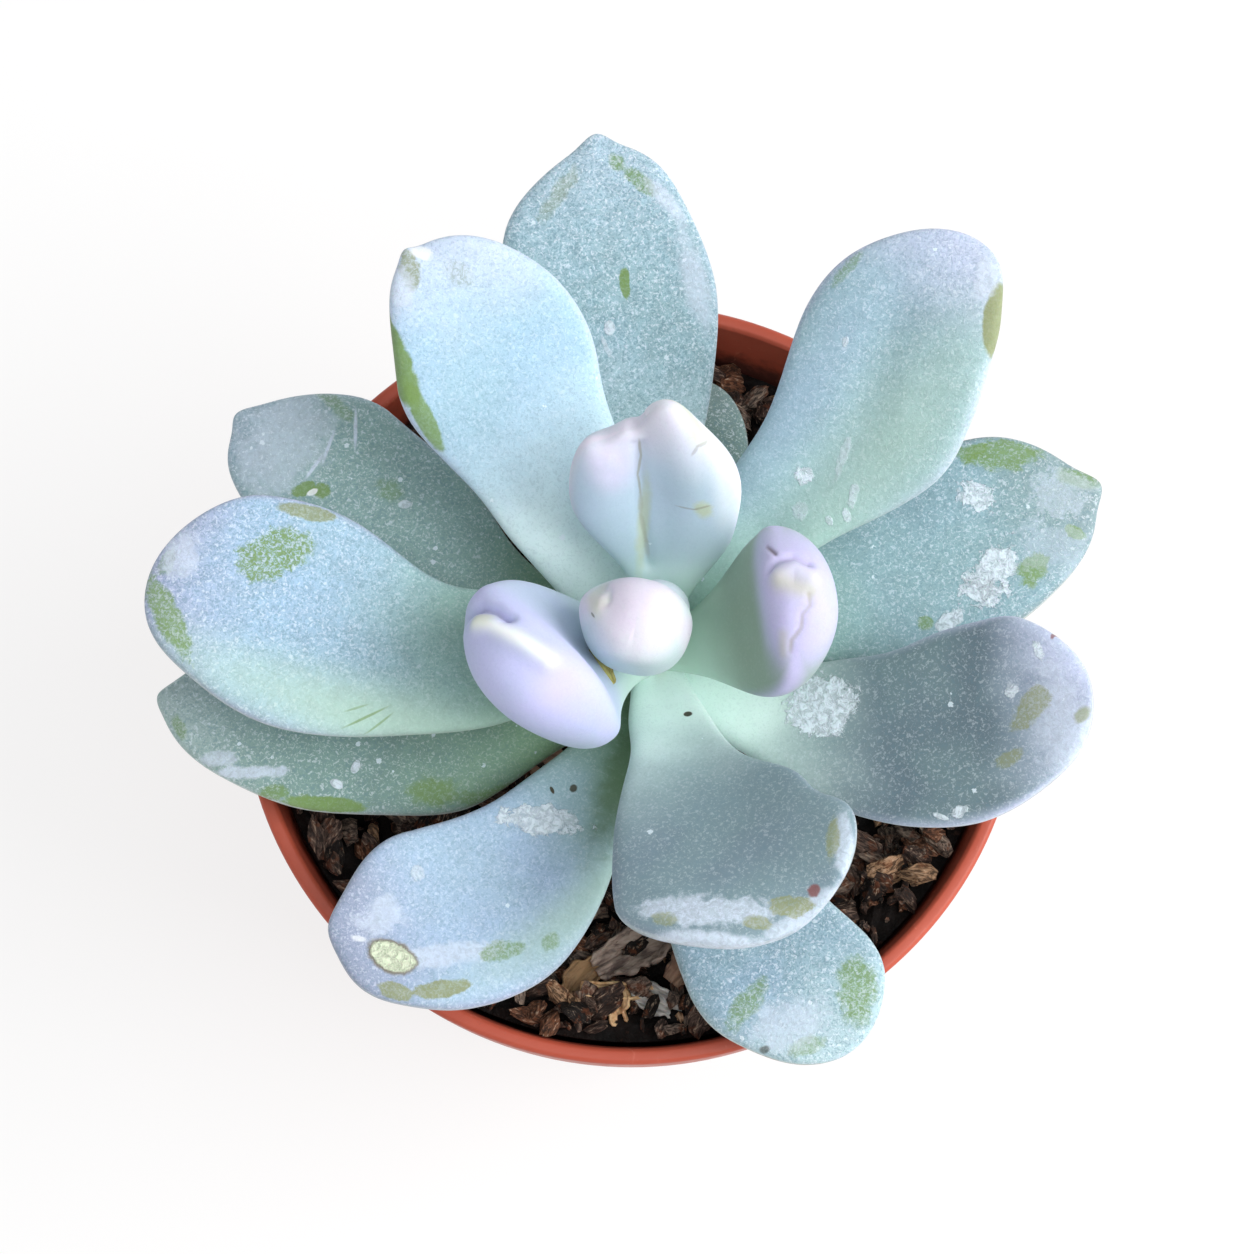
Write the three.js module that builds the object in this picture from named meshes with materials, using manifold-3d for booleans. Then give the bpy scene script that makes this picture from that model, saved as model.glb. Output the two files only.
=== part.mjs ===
// A moonstones plant (Pachyphytum) in a round plastic nursery pot: the pot, its soil with bark chips,
// the stem, each fleshy leaf and the withered leaves, every one a closed solid of its own.
// Millimetres, +Z up. The origin is the centre of the pot's underside, and -Y is the front.
import * as THREE from "three";
import { mergeVertices } from "three/addons/utils/BufferGeometryUtils.js";
import Module from "manifold-3d";

const wasm = await Module();
wasm.setup();

const GAP = 0.3; // clearance between pieces that touch
const rad = THREE.MathUtils.degToRad;

// Pot: a 9 cm nursery pot with a thickened collar
const POT_SIDES = 56;
const RIM_RADIUS = 45;
const RIM_HEIGHT = 70;
const RIM_LIP = 1.8;
const COLLAR_DROP = 9;
const COLLAR_DRAFT = 0.5;
const EDGE_ROUND = 0.4;
const WALL = 1.4;
const WALL_SLOPE = Math.tan(rad(7));
const FLOOR = 1.8;
const FOOT_BEVEL = 2;
const DRAIN_HOLES = 6;
const DRAIN_RADIUS = 3.5;
const DRAIN_CIRCLE = 25;
const GROOVE_WIDTH = 4;
const GROOVE_DEPTH = 1;

// Soil: its level under the rim, and the chips of bark on it
const SOIL_LEVEL = 61;
const SOIL_SIDES = 48;
const CHIP_COUNT = 130;
const CHIP_SMALL = 3;
const CHIP_LARGE = 5;
const CHIP_RISE = 0.16; // share of a chip's size that its middle stands above the soil
const CHIP_SPACING = 0.44; // least distance between two chips, as a share of their sizes together
const CHIP_REACH = 0.75; // most that a chip reaches from its middle, as a share of its size
const CHIP_SEED = 11;

// Stem: a short upright stem a little right of the pot's middle, tapering into its root
const STEM_X = 2.3;
const STEM_Y = -0.3;
const STEM_TOP = 85;
const STEM_RADIUS = 3.6;
const STEM_SIDES = 20;
const ROOT_TIP = 36;

// Leaves: how finely each is skinned
const LEAF_SIDES = 14;
const LEAF_RINGS = 13;
const MIDRIB_STEPS = 60;
const UPPER_SHARE = 0.42; // share of the thickness above the midrib

const SURFACES = {
  pot: { color: 0xc8634c, roughness: 0.5, metalness: 0 },
  soil: { color: 0x3a2a22, roughness: 0.95, metalness: 0 },
  stem: { color: 0x9fb39a, roughness: 0.7, metalness: 0 },
  leaf: { color: 0xa9c6cd, roughness: 0.65, metalness: 0 },
  youngLeaf: { color: 0xd5cfe4, roughness: 0.6, metalness: 0 },
  witheredLeaf: { color: 0x9a6f4f, roughness: 0.85, metalness: 0 },
};

// A geometry as a manifold solid, and back
function solidFrom(geometry) {
  const bare = geometry.clone();
  bare.deleteAttribute("normal");
  bare.deleteAttribute("uv");
  const merged = mergeVertices(bare, 1e-4);
  return new wasm.Manifold(
    new wasm.Mesh({
      numProp: 3,
      vertProperties: merged.attributes.position.array,
      triVerts: new Uint32Array(merged.index.array),
    }),
  );
}

function geometryFrom(solid) {
  const mesh = solid.getMesh();
  const geometry = new THREE.BufferGeometry();
  geometry.setAttribute(
    "position",
    new THREE.BufferAttribute(new Float32Array(mesh.vertProperties), 3),
  );
  geometry.setIndex(new THREE.BufferAttribute(new Uint32Array(mesh.triVerts), 1));
  geometry.computeVertexNormals();
  return geometry;
}

// The largest body of a solid, without the crumbs that a cut leaves or the hollows that a join seals
function largestOf(solid) {
  return solid.decompose().reduce((a, b) => (b.volume() > a.volume() ? b : a));
}

// A seeded draw, so that the chips of bark fall the same way each time
function seededDraw(seed) {
  let state = seed;
  return () => {
    state = (state + 0x6d2b79f5) | 0;
    let t = Math.imul(state ^ (state >>> 15), 1 | state);
    t = (t + Math.imul(t ^ (t >>> 7), 61 | t)) ^ t;
    return ((t ^ (t >>> 14)) >>> 0) / 4294967296;
  };
}

// A lathe turned about the Z axis through (x, y), from points [radius, height] that start and end on it
function turned(outline, sides, x = 0, y = 0) {
  const points = outline.map(([radius, height]) => new THREE.Vector2(radius, height));
  return new THREE.LatheGeometry(points, sides).rotateX(Math.PI / 2).translate(x, y, 0);
}

// The pot's inside radius at a height
const insideRadius = (height) => RIM_RADIUS - RIM_LIP - (RIM_HEIGHT - height) * WALL_SLOPE;

function makePot() {
  const collarFoot = RIM_HEIGHT - COLLAR_DROP;
  const outsideRadius = (height) => insideRadius(height) + WALL;
  const outline = [
    [0, 0],
    [outsideRadius(0) - FOOT_BEVEL, 0],
    [outsideRadius(FOOT_BEVEL), FOOT_BEVEL],
    [outsideRadius(collarFoot), collarFoot],
    [RIM_RADIUS - COLLAR_DRAFT, collarFoot],
    [RIM_RADIUS, RIM_HEIGHT - EDGE_ROUND],
    [RIM_RADIUS - EDGE_ROUND, RIM_HEIGHT],
    [RIM_RADIUS - RIM_LIP + EDGE_ROUND, RIM_HEIGHT],
    [RIM_RADIUS - RIM_LIP, RIM_HEIGHT - EDGE_ROUND],
    [insideRadius(FLOOR + FOOT_BEVEL), FLOOR + FOOT_BEVEL],
    [insideRadius(FLOOR) - FOOT_BEVEL, FLOOR],
    [0, FLOOR],
  ];
  let pot = solidFrom(turned(outline, POT_SIDES));
  for (let i = 0; i < DRAIN_HOLES; i++) {
    const turn = (i * 2 * Math.PI) / DRAIN_HOLES;
    const hole = new THREE.CylinderGeometry(DRAIN_RADIUS, DRAIN_RADIUS, 3 * FLOOR, 16)
      .rotateX(Math.PI / 2)
      .translate(DRAIN_CIRCLE, 0, FLOOR / 2)
      .rotateZ(turn);
    const groove = new THREE.BoxGeometry(2 * DRAIN_CIRCLE, GROOVE_WIDTH, 2 * GROOVE_DEPTH)
      .translate(2 * DRAIN_CIRCLE, 0, 0)
      .rotateZ(turn);
    pot = pot.subtract(solidFrom(hole)).subtract(solidFrom(groove));
  }
  return pot;
}

// The stem, swollen by g: with none it is the stem itself, and with GAP it is what cuts its neighbours
function makeStem(g) {
  const outline = [
    [0, ROOT_TIP - g],
    [1.4 + g, ROOT_TIP + 3],
    [STEM_RADIUS - 0.6 + g, SOIL_LEVEL - 10],
    [STEM_RADIUS + 0.3 + g, SOIL_LEVEL - 2],
    [STEM_RADIUS + 0.2 + g, SOIL_LEVEL + 4],
    [STEM_RADIUS - 0.2 + g, SOIL_LEVEL + 7],
    [STEM_RADIUS + 0.2 + g, SOIL_LEVEL + 10],
    [STEM_RADIUS - 0.2 + g, SOIL_LEVEL + 13],
    [STEM_RADIUS + g, SOIL_LEVEL + 16],
    [STEM_RADIUS - 0.4 + g, SOIL_LEVEL + 19],
    [STEM_RADIUS - 0.9 + g, STEM_TOP - 1.5],
    [STEM_RADIUS - 2 + g, STEM_TOP + g],
    [0, STEM_TOP + g],
  ];
  return solidFrom(turned(outline, STEM_SIDES, STEM_X, STEM_Y));
}

// What the leaves of one age have in common.
// thick: millimetres through the blade; neck: half the width where it leaves the stem.
// widest: share of the length where the blade is widest; waist: above 1 it stays narrow for longer.
// cup: how far the edges rise, as a share of half the width; point: above 0.5 the end is more pointed.
// lean: millimetres that the tip lies to the left of the midrib; spur: the small point that ends it.
// sweep: degrees that the leaf turns anticlockwise from its foot to its tip.
const MATURE = {
  thick: 7, neck: 2.8, widest: 0.7, waist: 1, cup: 0.16, point: 0.5, lean: 0, spur: 0.1, sweep: 0,
  surface: "leaf",
};
const OLD = { ...MATURE, thick: 6.5, neck: 2.6, cup: 0.12 };
const YOUNG = { ...MATURE, thick: 8, neck: 2.4, widest: 0.66, cup: 0.12, surface: "youngLeaf" };
const WITHERED = {
  ...MATURE, thick: 1.3, neck: 0.9, widest: 0.5, cup: 0.7, point: 0.6, surface: "witheredLeaf",
};

// The leaves, from the youngest at the crown to the oldest at the foot of the stem.
// heading: degrees from +X, anticlockwise, at the foot; foot: height where the midrib leaves the stem's axis.
// length and width: millimetres; rise: degrees above the horizon at the foot, the middle and the tip.
const LEAVES = [
  {
    ...YOUNG, name: "leaf_crown", heading: 225, foot: 84, length: 18, width: 10.5, rise: [75, 86, 88],
    thick: 9, neck: 1.8, widest: 0.6, cup: 0,
  },
  {
    ...YOUNG, name: "leaf_crown_back", heading: 72, foot: 83.5, length: 16, width: 8, rise: [20, 84, 95],
    thick: 4.2, neck: 1.4,
  },
  {
    ...YOUNG, name: "leaf_inner_back", heading: 90, foot: 82, length: 31, width: 18.5, rise: [22, 55, 60],
    sweep: -4, thick: 7, lean: 1.5,
  },
  {
    ...YOUNG, name: "leaf_inner_right", heading: 3, foot: 81, length: 29, width: 17.5, rise: [18, 58, 84],
    sweep: 4, thick: 7.5,
  },
  {
    ...YOUNG, name: "leaf_inner_left", heading: 200, foot: 80.5, length: 30, width: 21, rise: [18, 57, 84],
    sweep: 6, thick: 9,
  },
  {
    ...MATURE, name: "leaf_front", heading: 284, foot: 79, length: 42.5, width: 25.5, rise: [12, 40, 15],
    sweep: 20, waist: 1.3, cup: 0.22,
  },
  {
    ...MATURE, name: "leaf_left", heading: 186, foot: 76, length: 57.5, width: 25, rise: [12, 18, 12],
    sweep: -26, widest: 0.72,
  },
  {
    ...MATURE, name: "leaf_back_right", heading: 50, foot: 77, length: 59, width: 21, rise: [18, 25, 20],
    sweep: 1, lean: -1.5,
  },
  {
    ...MATURE, name: "leaf_back_left", heading: 119, foot: 77.5, length: 53.5, width: 20.5,
    rise: [18, 25, 25], lean: 2, spur: 0.5,
  },
  {
    ...MATURE, name: "leaf_right", heading: 323, foot: 75, length: 53, width: 22, rise: [8, 20, 30],
    sweep: 62, cup: 0.2, lean: 1.5,
  },
  {
    ...MATURE, name: "leaf_front_left", heading: 257, foot: 74, length: 52, width: 22, rise: [5, 14, 20],
    sweep: -66, cup: 0.2, spur: 0.5,
  },
  {
    ...OLD, name: "leaf_back", heading: 97.5, foot: 72, length: 61, width: 24, rise: [4, 13, 12],
    sweep: -5, widest: 0.72, point: 0.56,
  },
  {
    ...OLD, name: "leaf_low_right", heading: 21, foot: 71, length: 54, width: 22.5, rise: [5, 9, 6],
    point: 0.55,
  },
  {
    ...OLD, name: "leaf_low_back_left", heading: 150.5, foot: 70.5, length: 55.5, width: 20,
    rise: [2, 8, 6],
  },
  {
    ...OLD, name: "leaf_low_left", heading: 206, foot: 68, length: 57, width: 19, rise: [4, 11, 6],
    sweep: -44, point: 0.6,
  },
  {
    ...OLD, name: "leaf_low_front", heading: 293, foot: 69, length: 49, width: 21, rise: [4, 10, 8],
    lean: 1.5,
  },
  {
    ...OLD, name: "leaf_low_back", heading: 76, foot: 68.5, length: 34, width: 14, rise: [0, -3, -1],
    thick: 5, neck: 2.2,
  },
];

// Withered leaves that lie on the soil, curled up at their edges; x and y: where the foot lies
const WITHERED_LEAVES = [
  {
    ...WITHERED, name: "withered_leaf_front", x: 6.5, y: -28.5, heading: 203, foot: SOIL_LEVEL + 1.6,
    length: 12, width: 5.5, rise: [4, 6, 25], sweep: 8,
  },
  {
    ...WITHERED, name: "withered_leaf_front_small", x: 2.5, y: -36.6, heading: 184, foot: SOIL_LEVEL + 1.5,
    length: 7.5, width: 3.6, rise: [0, 10, 40], sweep: -12,
  },
  {
    ...WITHERED, name: "withered_leaf_left", x: -8, y: -10.5, heading: 150, foot: SOIL_LEVEL + 1.7,
    length: 9.5, width: 4.6, rise: [4, 6, 35], sweep: -14,
  },
];

// A curve through three values at the foot, the middle and the tip
const threeWay = (values, s) =>
  values[0] * (1 - s) * (1 - 2 * s) + values[1] * 4 * s * (1 - s) + values[2] * s * (2 * s - 1);

// Half the blade's width at a share s of its length: it widens smoothly, then rounds off at the end
function halfWidth(leaf, s) {
  const half = leaf.width / 2;
  if (s < leaf.widest) {
    const grown = (1 - Math.cos((Math.PI * s) / leaf.widest)) / 2;
    return leaf.neck + (half - leaf.neck) * grown ** leaf.waist;
  }
  const past = (s - leaf.widest) / (1 - leaf.widest);
  return half * (1 - past ** 2.2) ** leaf.point;
}

// The blade's thickness at a share s of its length: full by 0.6 and rounded off from 0.7
function thickness(leaf, s) {
  const neck = Math.min(1.7 * leaf.neck, leaf.thick);
  const grown = Math.sin((Math.PI / 2) * Math.min(1, s / 0.6));
  const past = Math.max(0, (s - 0.7) / 0.3);
  return (neck + (leaf.thick - neck) * grown) * Math.sqrt(1 - past ** 2.6);
}

// The midrib's points and directions, a step at a time from the foot
function midribOf(leaf, steps) {
  const stations = [];
  const heading = rad(leaf.heading);
  const at = new THREE.Vector3(leaf.x ?? STEM_X, leaf.y ?? STEM_Y, leaf.foot);
  for (let i = 0; i <= steps; i++) {
    const s = i / steps;
    const turn = heading + rad(leaf.sweep) * s;
    const climb = rad(threeWay(leaf.rise, s));
    const ahead = new THREE.Vector3(
      Math.cos(climb) * Math.cos(turn),
      Math.cos(climb) * Math.sin(turn),
      Math.sin(climb),
    );
    const left = new THREE.Vector3(-Math.sin(turn), Math.cos(turn), 0);
    const up = new THREE.Vector3().crossVectors(ahead, left);
    stations.push({ at: at.clone(), ahead, left, up });
    at.addScaledVector(ahead, leaf.length / steps);
  }
  return stations;
}

// A leaf is a skin of rings round its midrib, closer together near the tip, with a point at either end.
// swell makes it larger all round, as the cutter that keeps its neighbours clear of it.
function makeLeaf(leaf, swell = 0) {
  const stations = midribOf(leaf, MIDRIB_STEPS);
  const first = stations[0];
  const points = [first.at.clone().addScaledVector(first.ahead, -swell)];
  for (let j = 0; j < LEAF_RINGS; j++) {
    const s = Math.sin((Math.PI / 2) * (j / LEAF_RINGS)) ** 1.15;
    const station = stations[Math.round(s * MIDRIB_STEPS)];
    const half = halfWidth(leaf, s) + swell;
    const thick = thickness(leaf, s) + 2 * swell;
    for (let i = 0; i < LEAF_SIDES; i++) {
      const around = (2 * Math.PI * i) / LEAF_SIDES;
      const across = Math.cos(around);
      const rise = Math.sin(around);
      const share = rise > 0 ? UPPER_SHARE : 1 - UPPER_SHARE;
      const edgeLift = leaf.cup * half * (across ** 2 - 0.3);
      const lean = leaf.lean * Math.max(0, (s - leaf.widest) / (1 - leaf.widest)) ** 2;
      points.push(
        station.at
          .clone()
          .addScaledVector(station.left, half * across + lean)
          .addScaledVector(station.up, thick * share * rise + edgeLift),
      );
    }
  }
  const last = stations[MIDRIB_STEPS];
  const tip = last.at.clone().addScaledVector(last.ahead, leaf.spur + swell);
  points.push(tip.addScaledVector(last.left, leaf.lean));
  return solidFrom(skinOf(points, LEAF_SIDES));
}

// The closed skin over a first point, rings of points and a last point
function skinOf(points, sides) {
  const rings = (points.length - 2) / sides;
  const faces = [];
  const at = (ring, i) => 1 + ring * sides + (i % sides);
  for (let i = 0; i < sides; i++) {
    faces.push(0, at(0, i + 1), at(0, i));
    faces.push(points.length - 1, at(rings - 1, i), at(rings - 1, i + 1));
    for (let ring = 0; ring < rings - 1; ring++) {
      faces.push(at(ring, i), at(ring, i + 1), at(ring + 1, i));
      faces.push(at(ring, i + 1), at(ring + 1, i + 1), at(ring + 1, i));
    }
  }
  const geometry = new THREE.BufferGeometry().setFromPoints(points);
  geometry.setIndex(faces);
  return geometry;
}

// A chip of bark: a lump with its corners moved about, turned and tilted, half sunk in the soil
function barkChip(draw, size, x, y) {
  const lump = new THREE.IcosahedronGeometry(0.56 * size, 0);
  const chip = mergeVertices(lump.deleteAttribute("normal").deleteAttribute("uv"), 1e-3);
  chip.scale(1, 0.6 + 0.3 * draw(), 0.5 + 0.25 * draw());
  const corner = chip.getAttribute("position");
  const jolt = () => 1 + 0.5 * (draw() - 0.5);
  for (let i = 0; i < corner.count; i++) {
    corner.setXYZ(i, corner.getX(i) * jolt(), corner.getY(i) * jolt(), corner.getZ(i) * jolt());
  }
  chip.rotateX(0.7 * (draw() - 0.5)).rotateY(0.7 * (draw() - 0.5)).rotateZ(Math.PI * draw());
  return chip.translate(x, y, SOIL_LEVEL + CHIP_RISE * size);
}

function makeSoil(stemCutter) {
  const bottom = FLOOR + GAP;
  const outline = [
    [0, bottom],
    [insideRadius(bottom) - FOOT_BEVEL - GAP, bottom],
    [insideRadius(bottom + FOOT_BEVEL) - GAP, bottom + FOOT_BEVEL],
    [insideRadius(SOIL_LEVEL) - GAP, SOIL_LEVEL],
    [0, SOIL_LEVEL],
  ];
  let soil = solidFrom(turned(outline, SOIL_SIDES)).subtract(stemCutter);
  const draw = seededDraw(CHIP_SEED);
  const wallClear = insideRadius(SOIL_LEVEL) - GAP;
  const stemClear = STEM_RADIUS + GAP + 1;
  const placed = [];
  while (placed.length < CHIP_COUNT) {
    const size = CHIP_SMALL + (CHIP_LARGE - CHIP_SMALL) * draw();
    const turn = 2 * Math.PI * draw();
    const out = wallClear * Math.sqrt(draw());
    const x = out * Math.cos(turn);
    const y = out * Math.sin(turn);
    const from = (place) => Math.hypot(x - place.x, y - place.y);
    const byWall = out + CHIP_REACH * size > wallClear;
    const byStem = from({ x: STEM_X, y: STEM_Y }) - CHIP_REACH * size < stemClear;
    const byChip = placed.some((chip) => from(chip) < CHIP_SPACING * (size + chip.size));
    const byLeaf = WITHERED_LEAVES.some((leaf) => liesUnder(leaf, x, y, size));
    if (byWall || byStem || byChip || byLeaf) continue;
    soil = soil.add(solidFrom(barkChip(draw, size, x, y)));
    placed.push({ x, y, size });
  }
  return largestOf(soil);
}

// Whether a chip at (x, y) would reach under a withered leaf, which lies on bare soil
function liesUnder(leaf, x, y, size) {
  const clear = CHIP_REACH * size + 0.55 * leaf.width;
  return midribOf(leaf, 6).some(({ at }) => Math.hypot(x - at.x, y - at.y) < clear);
}

const plant = new THREE.Group();
function addPiece(name, solid, surface) {
  const mesh = new THREE.Mesh(geometryFrom(solid), new THREE.MeshStandardMaterial(SURFACES[surface]));
  mesh.name = name;
  plant.add(mesh);
}

const stemCutter = makeStem(GAP);
addPiece("pot", makePot(), "pot");
addPiece("soil", makeSoil(stemCutter), "soil");
addPiece("stem", makeStem(0), "stem");

// Each leaf sits against the stem, and gives way where a younger leaf above presses on it
const cutters = [stemCutter];
for (const leaf of LEAVES) {
  let solid = makeLeaf(leaf);
  for (const cutter of cutters) {
    solid = solid.subtract(cutter);
  }
  addPiece(leaf.name, largestOf(solid), leaf.surface);
  cutters.push(makeLeaf(leaf, GAP));
}
for (const leaf of WITHERED_LEAVES) {
  addPiece(leaf.name, makeLeaf(leaf), leaf.surface);
}

export default plant;
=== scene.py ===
import math
import random
import bpy
from mathutils import Euler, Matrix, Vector, noise


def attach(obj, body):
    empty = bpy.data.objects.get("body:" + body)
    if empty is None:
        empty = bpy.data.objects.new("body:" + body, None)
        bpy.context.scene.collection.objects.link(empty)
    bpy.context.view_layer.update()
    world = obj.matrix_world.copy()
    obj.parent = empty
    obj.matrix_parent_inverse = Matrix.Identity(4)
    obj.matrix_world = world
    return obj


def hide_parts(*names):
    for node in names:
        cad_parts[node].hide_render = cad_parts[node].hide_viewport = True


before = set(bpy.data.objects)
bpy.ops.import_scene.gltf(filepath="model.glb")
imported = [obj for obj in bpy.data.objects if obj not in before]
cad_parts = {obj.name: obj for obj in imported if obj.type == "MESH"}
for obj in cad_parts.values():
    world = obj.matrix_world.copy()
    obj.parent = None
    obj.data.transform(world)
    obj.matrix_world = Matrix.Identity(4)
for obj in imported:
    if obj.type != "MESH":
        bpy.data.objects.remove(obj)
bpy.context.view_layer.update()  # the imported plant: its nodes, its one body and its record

mm = 0.001
body = "root"


# small helpers for every piece

def deselectAll():
    if bpy.context.object and bpy.context.object.mode != "OBJECT":
        bpy.ops.object.mode_set(mode="OBJECT")
    bpy.ops.object.select_all(action="DESELECT")


def selectOnly(piece):
    deselectAll()
    piece.select_set(True)
    bpy.context.view_layer.objects.active = piece


def newPiece(name, coords, faces, layers):  # layers: name, kind, field and values of each attribute
    mesh = bpy.data.meshes.new(name)
    mesh.from_pydata(coords, [], faces)
    for layer, kind, field, values in layers:
        mesh.attributes.new(layer, kind, "POINT").data.foreach_set(field, values)
    piece = bpy.data.objects.new(name, mesh)
    bpy.context.collection.objects.link(piece)
    return piece


def finishPiece(piece, name, nodes=()):
    piece.name = name
    piece.data.name = name
    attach(piece, body)
    if nodes:
        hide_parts(*nodes)


def giveMaterial(piece, material):
    piece.data.materials.clear()
    piece.data.materials.append(material)


def applyModifier(piece, kind, **settings):
    bpy.context.view_layer.objects.active = piece
    modifier = piece.modifiers.new(kind.title(), kind)
    for setting, value in settings.items():
        setattr(modifier, setting, value)
    bpy.ops.object.modifier_apply(modifier=modifier.name)


def easeBetween(value, low, high):  # 0 below low, 1 above high
    t = min(1, max(0, (value - low) / (high - low)))
    return t * t * (3 - 2 * t)


# camera: it looks down on the rosette from just in front of it

photoView = dict(
    lens=81.95, sensor=36,  # mm
    place=(-0.0005, -0.07463, 0.3902), nearest=0.01,  # m
    offVertical=14,  # degrees
)

deselectAll()
bpy.ops.object.camera_add(
    location=photoView["place"], rotation=(math.radians(photoView["offVertical"]), 0, 0)
)
camera = bpy.context.object
camera.name = "photoCamera"
camera.data.lens = photoView["lens"]
camera.data.sensor_width = photoView["sensor"]
camera.data.clip_start = photoView["nearest"]
bpy.context.scene.camera = camera
print("camera placed")


# node helpers

def colourOf(red, green, blue):  # screen values 0 to 255 as the colour that sockets take
    def linear(value):
        value /= 255
        return value / 12.92 if value <= 0.04045 else ((value + 0.055) / 1.055) ** 2.4
    return (linear(red), linear(green), linear(blue), 1)


def put(tree, value, socket):  # a link where value is a socket, and a plain setting otherwise
    if isinstance(value, bpy.types.NodeSocket):
        tree.links.new(value, socket)
    elif value is not None:
        socket.default_value = value


def calc(tree, operation, a, b=None, c=None, clamp=False):
    node = tree.nodes.new("ShaderNodeMath")
    node.operation = operation
    node.use_clamp = clamp
    for value, socket in zip((a, b, c), node.inputs):
        put(tree, value, socket)
    return node.outputs[0]


def times(tree, a, b):
    return calc(tree, "MULTIPLY", a, b)


def plus(tree, a, b):
    return calc(tree, "ADD", a, b)


def minus(tree, a, b, clamp=False):
    return calc(tree, "SUBTRACT", a, b, clamp=clamp)


def ease(tree, value, low, high, toLow=0, toHigh=1):
    node = tree.nodes.new("ShaderNodeMapRange")
    node.interpolation_type = "SMOOTHSTEP"
    put(tree, value, node.inputs["Value"])
    put(tree, low, node.inputs["From Min"])
    put(tree, high, node.inputs["From Max"])
    put(tree, toLow, node.inputs["To Min"])
    put(tree, toHigh, node.inputs["To Max"])
    return node.outputs["Result"]


def blend(tree, factor, a, b, kind="MIX"):
    node = tree.nodes.new("ShaderNodeMix")
    node.data_type = "RGBA"
    node.blend_type = kind
    put(tree, factor, node.inputs["Factor"])
    put(tree, a, node.inputs[6])
    put(tree, b, node.inputs[7])
    return node.outputs[2]


def tint(tree, colour, mask, tone, strength):  # lays a tone over a colour where the mask shows
    return blend(tree, times(tree, mask, strength), colour, colourOf(*tone))


def attributeOf(tree, name):
    node = tree.nodes.new("ShaderNodeAttribute")
    node.attribute_name = name
    return node.outputs


def partsOf(tree, vector):  # its x, y and z
    node = tree.nodes.new("ShaderNodeSeparateXYZ")
    put(tree, vector, node.inputs[0])
    return node.outputs


def stretched(tree, vector, scale):
    node = tree.nodes.new("ShaderNodeMapping")
    node.inputs["Scale"].default_value = scale
    put(tree, vector, node.inputs["Vector"])
    return node.outputs[0]


def noiseOf(tree, scale, detail=2, roughness=0.5, vector=None, distortion=0):
    node = tree.nodes.new("ShaderNodeTexNoise")
    node.inputs["Scale"].default_value = scale
    node.inputs["Detail"].default_value = detail
    node.inputs["Roughness"].default_value = roughness
    node.inputs["Distortion"].default_value = distortion
    put(tree, vector or objectPlace(tree), node.inputs["Vector"])
    return node.outputs["Fac"]


def objectPlace(tree):
    for node in tree.nodes:
        if node.bl_idname == "ShaderNodeTexCoord":
            return node.outputs["Object"]
    return tree.nodes.new("ShaderNodeTexCoord").outputs["Object"]


def newGroup(name, inputs, outputs):
    tree = bpy.data.node_groups.new(name, "ShaderNodeTree")
    for socketName, kind, value in inputs:
        socketType = "NodeSocket" + kind
        socket = tree.interface.new_socket(socketName, in_out="INPUT", socket_type=socketType)
        if value is not None:
            socket.default_value = value
    for socketName, kind in outputs:
        tree.interface.new_socket(socketName, in_out="OUTPUT", socket_type="NodeSocket" + kind)
    return tree, tree.nodes.new("NodeGroupInput").outputs, tree.nodes.new("NodeGroupOutput").inputs


def useGroup(tree, group, **values):  # socket names with no spaces
    node = tree.nodes.new("ShaderNodeGroup")
    node.node_tree = group
    for name, value in values.items():
        put(tree, value, node.inputs[name])
    return node.outputs


def newMaterial(name, **values):
    material = bpy.data.materials.new(name)
    material.use_nodes = True
    tree = material.node_tree
    shader = tree.nodes["Principled BSDF"]
    for socketName, value in values.items():
        put(tree, value, shader.inputs[socketName.replace("_", " ")])
    return material, tree, shader


def dress(tree, shader, colour, rough, height, depth):  # depth of the surface's relief in mm
    bump = tree.nodes.new("ShaderNodeBump")
    bump.inputs["Distance"].default_value = depth * mm
    bump.inputs["Strength"].default_value = 1
    put(tree, height, bump.inputs["Height"])
    put(tree, bump.outputs["Normal"], shader.inputs["Normal"])
    put(tree, colour, shader.inputs["Base Color"])
    put(tree, rough, shader.inputs["Roughness"])


# stage: a plain pale floor, a wide window-like light from the right, and soft light all round

stageLook = dict(
    floorWidth=6,  # m
    floorGlow=0.75,  # what the floor shows of itself, so that shadows on it stay faint
    floorTone=0.23,  # what it takes from the lights
    worldTone=0.44,  # the soft light of the room
    keyFrom=(0.80, -0.06, 0.60), keyAway=0.9, keyWide=0.75, keyPower=9.2,
    topFrom=(0.20, -0.20, 0.95), topAway=0.9, topWide=0.8, topPower=3.2,
)
lightAim = Vector((0, 0, 0.075))


def addSoftLight(name, direction, away, wide, power):
    bpy.ops.object.light_add(type="AREA", location=lightAim + away * Vector(direction).normalized())
    light = bpy.context.object
    light.name = name
    light.data.shape = "SQUARE"
    light.data.size = wide
    light.data.energy = power
    light.rotation_euler = Vector(direction).to_track_quat("Z", "Y").to_euler()


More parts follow.
